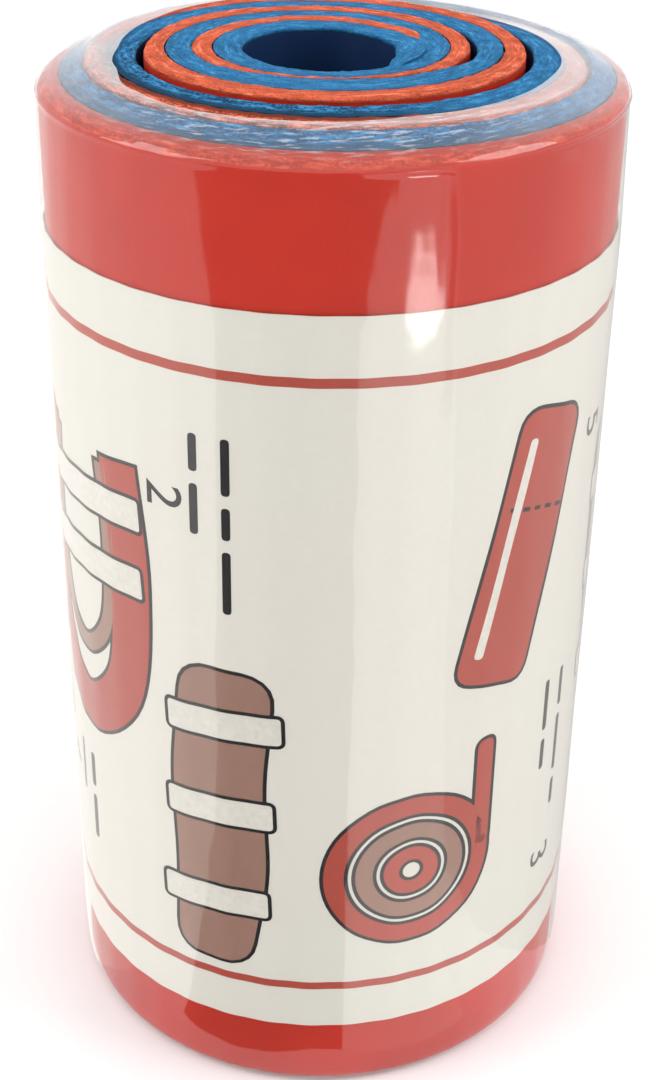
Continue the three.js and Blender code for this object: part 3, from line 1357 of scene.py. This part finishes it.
def foam_cells():
    """Torn cells and drawn fibres of cut foam, by a place in space and a place along the strip, as masks
    for painted shade in pores and torn cells and for light streaks that are partly painted glints
    """
    if "Foam Cells" in bpy.data.node_groups:
        return bpy.data.node_groups["Foam Cells"]
    tree, start, end = new_group(
        "Foam Cells",
        [("Object", "vector"), ("Strip", "vector"), ("Cell Size", "value")],
        [(mask, "value") for mask in ("Tone", "Pits", "Specks", "Tears", "Height")],
    )
    space, strip, size = (start.outputs[name] for name in ("Object", "Strip", "Cell Size"))
    fineness = value_of(tree, "DIVIDE", 1.0, size)
    cells = node(tree, "ShaderNodeTexVoronoi", {"Vector": space, "Scale": fineness})
    drawn = scaled(tree, strip, (0.22, 1.0, 1.0))
    fibres = noise_of(tree, drawn, value_of(tree, "MULTIPLY", fineness, 1.3), 3.0, 0.65)
    grain = noise_of(tree, space, value_of(tree, "MULTIPLY", fineness, 1.9), 3.0, 0.7)
    broad = noise_of(tree, space, value_of(tree, "MULTIPLY", fineness, 0.16), 2.0, 0.5)
    speckle = noise_of(tree, space, value_of(tree, "MULTIPLY", fineness, 2.6), 2.0, 0.8)
    tone = value_of(tree, "MULTIPLY_ADD", fibres, 0.45, value_of(tree, "MULTIPLY", speckle, 0.35))
    tone = value_of(tree, "MULTIPLY_ADD", broad, 0.2, tone)
    tree.links.new(tone, end.inputs["Tone"])
    tree.links.new(ranged(tree, grain, 0.41, 0.31), end.inputs["Pits"])
    tree.links.new(ranged(tree, fibres, 0.57, 0.72), end.inputs["Specks"])
    ragged = value_of(tree, "MULTIPLY_ADD", grain, 0.5, value_of(tree, "MULTIPLY", fibres, 0.5))
    tree.links.new(ranged(tree, ragged, 0.54, 0.45), end.inputs["Tears"])
    height = value_of(tree, "MULTIPLY_ADD", cells.outputs["Distance"], -0.4, grain)
    tree.links.new(value_of(tree, "ADD", height, fibres), end.inputs["Height"])
    return tree


def print_wear():
    """Uneven ink or paper: a broad drift between two tints and a fine mottle"""
    if "Print Wear" in bpy.data.node_groups:
        return bpy.data.node_groups["Print Wear"]
    tree, start, end = new_group(
        "Print Wear",
        [("Object", "vector"), ("Colour", "colour"), ("Tint", "colour"), ("Mottle", "value")],
        [("Colour", "colour"), ("Roughness", "value")],
    )
    space = start.outputs["Object"]
    drift = ranged(tree, noise_of(tree, space, 22.0, 1.0), 0.38, 0.62)
    base = mixed(tree, drift, start.outputs["Colour"], start.outputs["Tint"])
    fine = noise_of(tree, space, 1500.0, 3.0, 0.6)
    dark = ranged(tree, fine, 0.3, 0.7, 1.0, 0.0)
    darker = mixed(tree, value_of(tree, "MULTIPLY", dark, start.outputs["Mottle"]), base, (0, 0, 0))
    tree.links.new(darker, end.inputs["Colour"])
    tree.links.new(ranged(tree, fine, 0.3, 0.7, 0.36, 0.5), end.inputs["Roughness"])
    return tree


CELL_SIZE = 0.55 * MM
# Near-black painted shade in the foam's open pores
PIT_SHADE_COLOUR = (0.012, 0.008, 0.01)
# Brightness of the foam's tones, as shares of its own colour; the torn tone is painted shade
DARK_TONE = 0.6
LIGHT_TONE = 1.22
TORN_SHADE_TONE = 0.16
DRIFT_TONE = 1.18
# How strongly the light fibre streaks, partly painted glints, and the painted shade of torn cells show
SPECK_GLINT_SHARE = 0.55
TORN_SHADE_SHARE = 0.9
# Distances from the sheet between which the painted shade of the torn edge, in the groove beside the
# sheet, fades out
SHADE_BESIDE_SHEET = (0.3 * MM, 0.8 * MM)
FOAM_BUMP = 0.22 * MM


def foam_material(name, cut_colour, skin_colour, speck_glint_colour, pit_shade_share):
    """Foam with dark pores painted as shade, light fibre streaks that are partly painted glints and torn
    parts in painted shade where it is cut, and plainer faces elsewhere
    """
    material, tree, shader = new_material(name)
    space = node(tree, "ShaderNodeTexCoord").outputs["Object"]
    strip = attribute(tree, "strip_place", "Vector")
    cells = node(tree, "ShaderNodeGroup", node_tree=foam_cells())
    tree.links.new(space, cells.inputs["Object"])
    tree.links.new(strip, cells.inputs["Strip"])
    cells.inputs["Cell Size"].default_value = CELL_SIZE
    dark = [channel * DARK_TONE for channel in cut_colour]
    light = [min(channel * LIGHT_TONE + 0.01, 1.0) for channel in cut_colour]
    cut_face = mixed(tree, ranged(tree, cells.outputs["Tone"], 0.38, 0.62), dark, light)
    # Light fibre streaks along the strip, partly painted glints
    speck_glints = value_of(tree, "MULTIPLY", cells.outputs["Specks"], SPECK_GLINT_SHARE)
    cut_face = mixed(tree, speck_glints, cut_face, speck_glint_colour)
    # Painted shade: the pores of the cut face are darkened nearly to black
    pit_shade = value_of(tree, "MULTIPLY", cells.outputs["Pits"], pit_shade_share)
    cut_face = mixed(tree, pit_shade, cut_face, PIT_SHADE_COLOUR)
    # Painted shade in the torn cells and in the groove beside the sheet, as strong as the edge is torn
    depth = node(tree, "ShaderNodeSeparateXYZ", {0: strip}).outputs["Y"]
    beside = ranged(tree, depth, *SHADE_BESIDE_SHEET, 1.0, 0.0)
    torn_shading = value_of(tree, "MAXIMUM", cells.outputs["Tears"], beside)
    torn = value_of(tree, "MULTIPLY", attribute(tree, "torn", "Fac"), TORN_SHADE_SHARE)
    torn_shading = value_of(tree, "MULTIPLY", torn_shading, torn)
    cut_face = mixed(tree, torn_shading, cut_face, [channel * TORN_SHADE_TONE for channel in cut_colour])
    drift = ranged(tree, noise_of(tree, space, 60.0, 2.0), 0.35, 0.65)
    skin = mixed(tree, drift, skin_colour, [channel * DRIFT_TONE for channel in skin_colour])
    sharp = ranged(tree, attribute(tree, "cut", "Fac"), 0.25, 0.8)
    tree.links.new(mixed(tree, sharp, skin, cut_face), shader.inputs["Base Color"])
    tree.links.new(ranged(tree, sharp, 0.0, 1.0, 0.6, 0.9), shader.inputs["Roughness"])
    shader.inputs["Specular IOR Level"].default_value = 0.15
    fine = noise_of(tree, space, 2600.0, 2.0)
    height = value_of(tree, "MULTIPLY", cells.outputs["Height"], sharp)
    height = value_of(tree, "MULTIPLY_ADD", fine, 0.15, height)
    bump = node(tree, "ShaderNodeBump", {"Height": height, "Strength": 0.75, "Distance": FOAM_BUMP})
    tree.links.new(bump.outputs[0], shader.inputs["Normal"])
    return material


DARK_METAL = (0.30, 0.30, 0.31)
LIGHT_METAL = (0.62, 0.62, 0.63)


def sheet_material():
    """Rolled metal with fine lines along the roll's height"""
    material, tree, shader = new_material("Soft aluminium")
    space = node(tree, "ShaderNodeTexCoord").outputs["Object"]
    lines = noise_of(tree, scaled(tree, space, (1.0, 1.0, 0.05)), 2500.0, 2.0)
    tree.links.new(mixed(tree, lines, DARK_METAL, LIGHT_METAL), shader.inputs["Base Color"])
    shader.inputs["Metallic"].default_value = 1.0
    tree.links.new(ranged(tree, lines, 0.3, 0.7, 0.3, 0.5), shader.inputs["Roughness"])
    return material


def print_material(name, colour, tint, mottle):
    """Matt paper or ink that drifts towards a tint and has a fine mottle"""
    material, tree, shader = new_material(name)
    space = node(tree, "ShaderNodeTexCoord").outputs["Object"]
    wear = node(tree, "ShaderNodeGroup", node_tree=print_wear())
    tree.links.new(space, wear.inputs["Object"])
    wear.inputs["Colour"].default_value = (*colour[:3], 1.0)
    wear.inputs["Tint"].default_value = (*tint[:3], 1.0)
    wear.inputs["Mottle"].default_value = mottle
    tree.links.new(wear.outputs["Colour"], shader.inputs["Base Color"])
    tree.links.new(wear.outputs["Roughness"], shader.inputs["Roughness"])
    return material


FILM_IOR = 1.5
FILM_GAIN = 1.2
FILM_COLOUR = (0.97, 0.98, 1.0, 1.0)
# Height from which the film is hazy, because it is drawn over the rim, and the height that this takes
RIM_HEIGHT = 107.6 * MM
RIM_FADE = 1.2 * MM
# Distances from the axis, to the sides and to the back, over which the painted reflection of the white
# surroundings comes into the film's haze, and the haze at the front and the haze with painted reflection
# at the sides
SHEEN_ASIDE = (11 * MM, 23 * MM)
SHEEN_BEHIND = 14 * MM
FRONT_HAZE = 0.03
SIDE_HAZE_AND_SHEEN = 0.17
# The film is hazier inside the line between the first two turns, a spiral: its radius at the back, what
# it loses in one turn, half the width over which the haze comes in, and the haze
LINE_RADIUS = 27.5 * MM
LINE_DRIFT = 6 * MM
LINE_HALF = 0.35 * MM
LINE_HAZE = 0.13
# Creases run along the rim, because the way round is measured on this small radius, and their white haze,
# which is partly the creased film and partly painted glints
CREASE_RADIUS = 4 * MM
CREASE_GLINT_HAZE = 0.26


def film_material(axis):
    """Clear film that mirrors by its angle to the eye, and is hazy and creased over the rim, with painted
    glints on the creases and painted reflection in the haze to the sides and back
    """
    material, tree, shader = new_material("Clear film")
    space = node(tree, "ShaderNodeTexCoord").outputs["Object"]
    height = node(tree, "ShaderNodeSeparateXYZ", {0: space}).outputs["Z"]
    over = ranged(tree, height, RIM_HEIGHT, RIM_HEIGHT + RIM_FADE)
    pulled = noise_of(tree, space, 700.0, 3.0, 0.6)
    waves = noise_of(tree, space, 130.0, 1.0)
    relief = value_of(tree, "MULTIPLY_ADD", value_of(tree, "MULTIPLY", pulled, over), 0.35, waves)
    bump = node(tree, "ShaderNodeBump", {"Height": relief, "Strength": 0.35, "Distance": 0.25 * MM})
    mirror = node(tree, "ShaderNodeFresnel", {"IOR": FILM_IOR, "Normal": bump.outputs[0]}).outputs[0]
    mirror = value_of(tree, "MULTIPLY", mirror, FILM_GAIN)
    patchy = ranged(tree, noise_of(tree, space, 260.0, 2.0), 0.35, 0.7, 0.55, 1.0)
    centred = node(tree, "ShaderNodeVectorMath", {0: space, 1: axis}, operation="SUBTRACT")
    centred = centred.outputs["Vector"]
    flat = scaled(tree, centred, (1, 1, 0))
    away = node(tree, "ShaderNodeVectorMath", {0: flat}, operation="LENGTH").outputs["Value"]
    place = node(tree, "ShaderNodeSeparateXYZ", {0: centred})
    around = value_of(tree, "ARCTAN2", place.outputs["Y"], place.outputs["X"])
    # Painted reflection: the haze grows to the sides and back, standing in for the white surroundings
    # that the film mirrors there
    aside = ranged(tree, value_of(tree, "ABSOLUTE", place.outputs["X"]), *SHEEN_ASIDE)
    behind = ranged(tree, place.outputs["Y"], 0.0, SHEEN_BEHIND)
    sheen_aside = value_of(tree, "MAXIMUM", aside, behind)
    haze_and_sheen = value_of(tree, "MULTIPLY", patchy, ranged(tree, sheen_aside, 0.0, 1.0, FRONT_HAZE, SIDE_HAZE_AND_SHEEN))
    outside = value_of(tree, "MULTIPLY_ADD", around, -0.5 / math.pi, BACK_SHARE)
    outside = value_of(tree, "WRAP", outside, 1.0, 0.0)
    from_line = value_of(tree, "MULTIPLY_ADD", outside, LINE_DRIFT, -LINE_RADIUS)
    from_line = value_of(tree, "ADD", away, from_line)
    haze_and_sheen = value_of(tree, "ADD", haze_and_sheen, ranged(tree, from_line, LINE_HALF, -LINE_HALF, 0.0, LINE_HAZE))
    # Painted glints: white lines along the rim on the creased film
    way_round = value_of(tree, "MULTIPLY", around, CREASE_RADIUS)
    drawn = node(tree, "ShaderNodeCombineXYZ", {"X": way_round, "Y": away})
    crease_glints = noise_of(tree, drawn.outputs[0], 2800.0, 2.0, 0.6)
    crease_glints = ranged(tree, crease_glints, 0.54, 0.64, 0.0, CREASE_GLINT_HAZE)
    crease_glints = value_of(tree, "MULTIPLY", crease_glints, ranged(tree, sheen_aside, 0.0, 0.8, 1.0, 0.2))
    haze_and_sheen = value_of(tree, "ADD", haze_and_sheen, crease_glints)
    rim_haze_and_sheen = value_of(tree, "MULTIPLY_ADD", haze_and_sheen, over, 0.01)
    whole = node(tree, "ShaderNodeMath", {0: mirror, 1: rim_haze_and_sheen}, operation="ADD", use_clamp=True)
    whole = whole.outputs["Value"]
    back = node(tree, "ShaderNodeNewGeometry").outputs["Backfacing"]
    outer = value_of(tree, "SUBTRACT", 1.0, back)
    tree.links.new(value_of(tree, "MULTIPLY", whole, outer), shader.inputs["Alpha"])
    tree.links.new(value_of(tree, "DIVIDE", mirror, whole), shader.inputs["Metallic"])
    shader.inputs["Base Color"].default_value = FILM_COLOUR
    tree.links.new(ranged(tree, pulled, 0.3, 0.7, 0.05, 0.09), shader.inputs["Roughness"])
    tree.links.new(bump.outputs[0], shader.inputs["Normal"])
    return material


def plain_material(name, colour, roughness):
    material, _, shader = new_material(name)
    shader.inputs["Base Color"].default_value = (*colour[:3], 1.0)
    shader.inputs["Roughness"].default_value = roughness
    return material


BLACK = (0, 0, 0, 1)
WARM_WHITE = (1, 0.95, 0.9, 1)


def glow_material(name, strength):
    """A card that only glows and mirrors nothing"""
    material, _, shader = new_material(name)
    shader.inputs["Base Color"].default_value = BLACK
    shader.inputs["Emission Color"].default_value = WARM_WHITE
    shader.inputs["Emission Strength"].default_value = strength
    shader.inputs["Specular IOR Level"].default_value = 0.0
    return material


# Operators

# Colour of each foam's light fibre streaks, which are partly painted glints, and how dark the painted
# shade in its pores is
ORANGE_SPECK_GLINTS = (0.95, 0.45, 0.28)
ORANGE_PIT_SHADE_SHARE = 0.55
BLUE_SPECK_GLINTS = (0.12, 0.42, 0.62)
BLUE_PIT_SHADE_SHARE = 0.7


class SplintOrangeFoam(bpy.types.Operator):
    """Roll up the outer, orange foam of the strip"""

    bl_idname = "splint.orange_foam"
    bl_label = "Orange Foam"

    def execute(self, context):
        strip, colours = context.scene.splint_strip, context.scene.splint_colours
        near = OUTWARD * (strip.core_thickness / 2 + strip.bond_gap)
        far = near + OUTWARD * strip.orange_thickness
        foam = rolled_foam(
            "orange_layer",
            "orange_foam",
            roll_of(context.scene),
            near,
            far,
            strip.blue_lead,
            ORANGE_ROWS,
            ORANGE_TIP_SHARE,
            strip.rim_round,
        )
        material = foam_material(
            "Orange foam", colours.orange_cut, colours.orange_skin, ORANGE_SPECK_GLINTS, ORANGE_PIT_SHADE_SHARE
        )
        finish_piece(foam, material)
        return {"FINISHED"}


class SplintBlueFoam(bpy.types.Operator):
    """Roll up the inner, blue foam of the strip"""

    bl_idname = "splint.blue_foam"
    bl_label = "Blue Foam"

    def execute(self, context):
        strip, colours = context.scene.splint_strip, context.scene.splint_colours
        near = -OUTWARD * (strip.core_thickness / 2 + strip.bond_gap)
        far = near - OUTWARD * strip.blue_thickness
        foam = rolled_foam(
            "blue_layer",
            "blue_foam",
            roll_of(context.scene),
            near,
            far,
            0.0,
            BLUE_ROWS,
            BLUE_TIP_SHARE,
            strip.edge_round,
        )
        material = foam_material(
            "Blue foam", colours.blue_cut, colours.blue_skin, BLUE_SPECK_GLINTS, BLUE_PIT_SHADE_SHARE
        )
        finish_piece(foam, material)
        return {"FINISHED"}


class SplintSheet(bpy.types.Operator):
    """Finish the soft aluminium sheet between the foams"""

    bl_idname = "splint.sheet"
    bl_label = "Aluminium Sheet"

    def execute(self, context):
        sheet = rolled_sheet("sheet_layer", "aluminium_core", roll_of(context.scene))
        finish_piece(sheet, sheet_material())
        return {"FINISHED"}


# Drift of the paper's colour in red, green and blue, and of every ink's, as shares of its own
PAPER_TINT = (0.98, 1.01, 1.0)
INK_TINT = 1.08
PAPER_MOTTLE = 0.03
INK_MOTTLE = 0.12


class SplintLabel(bpy.types.Operator):
    """Wrap the printed label round the roll"""

    bl_idname = "splint.label"
    bl_label = "Label"

    def execute(self, context):
        label, colours = context.scene.splint_label, context.scene.splint_colours
        low, high = (corner.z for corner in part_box("label_band"))
        path, points = wrap_path("Label line", "label_band", low, PAPER_DEPTH)
        length = path_length(points, True)
        sheet = label_sheet(low, high, length)
        wind(sheet, path)
        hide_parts("label_band")
        tint = [channel * share for channel, share in zip(colours.paper, PAPER_TINT)]
        paper = print_material("Label paper", colours.paper, tint, PAPER_MOTTLE)
        finish_piece(sheet, paper)
        front = front_length(points)
        shapes = label_shapes(label, front, low)
        shapes.setdefault(("red", 0), []).extend(border_lines(label, low, length))
        inks = {
            "red": colours.red_ink,
            "tan": colours.tan_ink,
            "black": colours.black_ink,
            "white": colours.paper,
        }
        materials = {}
        for ink, colour in inks.items():
            tint = [channel * INK_TINT for channel in colour]
            materials[ink] = print_material(f"{ink.capitalize()} ink", colour, tint, INK_MOTTLE)
        for (ink, layer), flat in sorted(shapes.items()):
            printed = join_shapes(ink_name(ink, layer), flat)
            base = PAPER_THICKNESS / 2 + layer * label.ink
            raise_print(printed, base, label.ink, length / (LABEL_CUTS + 1) ** 2)
            wind(printed, path)
            finish_piece(printed, materials[ink])
        drop(path)
        return {"FINISHED"}


class SplintFilm(bpy.types.Operator):
    """Shrink the clear film round the roll"""

    bl_idname = "splint.film"
    bl_label = "Clear Film"

    def execute(self, context):
        sheet = film_sheet(context.scene.splint_film, roll_of(context.scene))
        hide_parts("clear_film")
        finish_piece(sheet, film_material(roll_of(context.scene).axis))
        return {"FINISHED"}


# Reflection cards on the floor: each corner's azimuth in degrees from the front to the right, and its
# distance from the axis in millimetres
LEFT_CORNERS = [(-175, 60), (-38, 60), (-40, 255), (-50, 388), (-56, 900), (-175, 900)]
DARK_CORNERS = [
    (-36, 34), (0, 34), (8, 34), (11, 255), (24, 388),
    (30, 900), (0, 900), (-56, 900), (-50, 388), (-40, 255),
]
MID_CORNERS = [(8, 34), (42, 34), (42, 255), (44, 900), (30, 900), (24, 388), (11, 255)]
STREAK_CORNERS = [(42, 200), (45, 200), (46.5, 388), (44, 388)]
RIGHT_CORNERS = [(47, 60), (175, 60), (175, 900), (47, 900)]
PATCH_CORNERS = [
    (27.5, 252), (33, 241), (40, 247), (42, 290), (40.5, 320),
    (37, 314), (33, 322), (29.5, 312), (27.5, 285),
]
CARD_HEIGHT = 1.0 * MM
PATCH_HEIGHT = 2.0 * MM
CARDS = [
    {"name": "left_card", "glow": 1.1, "corners": LEFT_CORNERS, "height": CARD_HEIGHT},
    {"name": "dark_card", "glow": 0.0, "corners": DARK_CORNERS, "height": CARD_HEIGHT},
    {"name": "mid_card", "glow": 1.3, "corners": MID_CORNERS, "height": CARD_HEIGHT},
    {"name": "streak_card", "glow": 0.3, "corners": STREAK_CORNERS, "height": CARD_HEIGHT},
    {"name": "right_card", "glow": 0.7, "corners": RIGHT_CORNERS, "height": CARD_HEIGHT},
    {"name": "patch_card", "glow": 9.0, "corners": PATCH_CORNERS, "height": PATCH_HEIGHT},
]
HIDDEN_FROM = ("camera", "diffuse", "transmission", "volume_scatter", "shadow")


def floor_card(name, glow, corners, height):
    """A card on the floor that only mirrored light sees"""
    axis = roll_of(bpy.context.scene).axis
    points = []
    for azimuth, distance in corners:
        angle = math.radians(azimuth)
        away = distance * MM
        points.append((axis.x + away * math.sin(angle), axis.y - away * math.cos(angle), height))
    mesh = bpy.data.meshes.new(name)
    mesh.from_pydata(points, [], [list(range(len(points)))])
    card = bpy.data.objects.new(name, mesh)
    bpy.context.scene.collection.objects.link(card)
    card.data.materials.append(glow_material(name, glow))
    for rays in HIDDEN_FROM:
        setattr(card, f"visible_{rays}", False)


FLOOR_SIZE = 12.0
FLOOR_ROUGHNESS = 0.8
# Each soft light's name, place and share of the power
SOFT_LIGHTS = (("Left light", (-0.85, -0.2, 0.65), 1.0), ("Right light", (0.85, -0.15, 0.7), 1.1))
LIGHT_SIZE = 0.6
LIGHT_AIM = Vector((0, 0, 0.06))
SENSOR_WIDTH = 36.0
NEAREST_SEEN = 0.01
# How far the middle of the roll's outline, as the camera sees it, lies to the right of its axis
SILHOUETTE_OFFSET = 1.40 * MM


def lay_floor(colour):
    bpy.ops.mesh.primitive_plane_add(size=FLOOR_SIZE, location=(0, 0, 0))
    floor = bpy.context.object
    floor.name = "floor"
    floor.data.materials.append(plain_material("Floor", colour, FLOOR_ROUGHNESS))


def set_surroundings(scene, strength):
    """Even white light from all round, and colours shown as they are"""
    world = bpy.data.worlds.new("Soft surroundings")
    world.use_nodes = True
    back = world.node_tree.nodes["Background"]
    back.inputs["Color"].default_value = (1, 1, 1, 1)
    back.inputs["Strength"].default_value = strength
    scene.world = world
    scene.view_settings.view_transform = "Standard"


def hang_lights(scene, power):
    for name, place, share in SOFT_LIGHTS:
        lamp = bpy.data.lights.new(name, "AREA")
        lamp.size = LIGHT_SIZE
        lamp.energy = power * share
        soft = bpy.data.objects.new(name, lamp)
        scene.collection.objects.link(soft)
        soft.location = place
        soft.rotation_euler = (LIGHT_AIM - soft.location).to_track_quat("-Z", "Y").to_euler()


def set_camera(scene, studio, axis):
    """The camera at the photograph's place, aimed by its yaw, pitch and roll"""
    lens = bpy.data.cameras.new("Camera")
    lens.lens = studio.focal_length
    lens.sensor_width = SENSOR_WIDTH
    lens.clip_start = NEAREST_SEEN
    camera = bpy.data.objects.new("Camera", lens)
    scene.collection.objects.link(camera)
    middle = axis.x + SILHOUETTE_OFFSET
    place = Matrix.Translation((middle, axis.y - studio.camera_distance, studio.camera_height))
    turn = Matrix.Rotation(-studio.camera_yaw, 4, "Z")
    tilt = Matrix.Rotation(math.pi / 2 - studio.camera_pitch, 4, "X")
    lean = Matrix.Rotation(studio.camera_roll, 4, "Z")
    camera.matrix_world = place @ turn @ tilt @ lean
    scene.camera = camera


class SplintStage(bpy.types.Operator):
    """Lay the floor and set the camera and the soft light"""

    bl_idname = "splint.stage"
    bl_label = "Floor, Light and Camera"

    def execute(self, context):
        scene = context.scene
        studio = scene.splint_studio
        deselect()
        lay_floor(scene.splint_colours.floor)
        for card in CARDS:
            floor_card(**card)
        set_surroundings(scene, studio.world_strength)
        hang_lights(scene, studio.key_power)
        set_camera(scene, studio, roll_of(scene).axis)
        return {"FINISHED"}


class SplintPanel(bpy.types.Panel):
    """The splint's pieces and sizes, in the sidebar of the 3D view"""

    bl_idname = "VIEW3D_PT_splint"
    bl_label = "Splint"
    bl_space_type = "VIEW_3D"
    bl_region_type = "UI"
    bl_category = "Splint"

    def draw(self, context):
        layout = self.layout
        for settings in SETTINGS:
            box = layout.box()
            group = getattr(context.scene, settings)
            for name in group.__annotations__:
                box.prop(group, name)
        for operator in OPERATORS:
            layout.operator(operator.bl_idname)


SETTINGS = {
    "splint_strip": SplintStripSettings,
    "splint_label": SplintLabelSettings,
    "splint_film": SplintFilmSettings,
    "splint_colours": SplintColourSettings,
    "splint_studio": SplintStudioSettings,
}
OPERATORS = (SplintStage, SplintOrangeFoam, SplintBlueFoam, SplintSheet, SplintLabel, SplintFilm)


def register():
    for name, settings in SETTINGS.items():
        bpy.utils.register_class(settings)
        setattr(bpy.types.Scene, name, PointerProperty(type=settings))
    for operator in OPERATORS:
        bpy.utils.register_class(operator)
    bpy.utils.register_class(SplintPanel)


def unregister():
    bpy.utils.unregister_class(SplintPanel)
    for operator in reversed(OPERATORS):
        bpy.utils.unregister_class(operator)
    for name, settings in reversed(SETTINGS.items()):
        delattr(bpy.types.Scene, name)
        bpy.utils.unregister_class(settings)


def main():
    """Makes every piece in order"""
    register()
    bpy.ops.splint.stage()
    bpy.ops.splint.orange_foam()
    bpy.ops.splint.blue_foam()
    bpy.ops.splint.sheet()
    bpy.ops.splint.label()
    bpy.ops.splint.film()


if __name__ == "__main__":
    main()
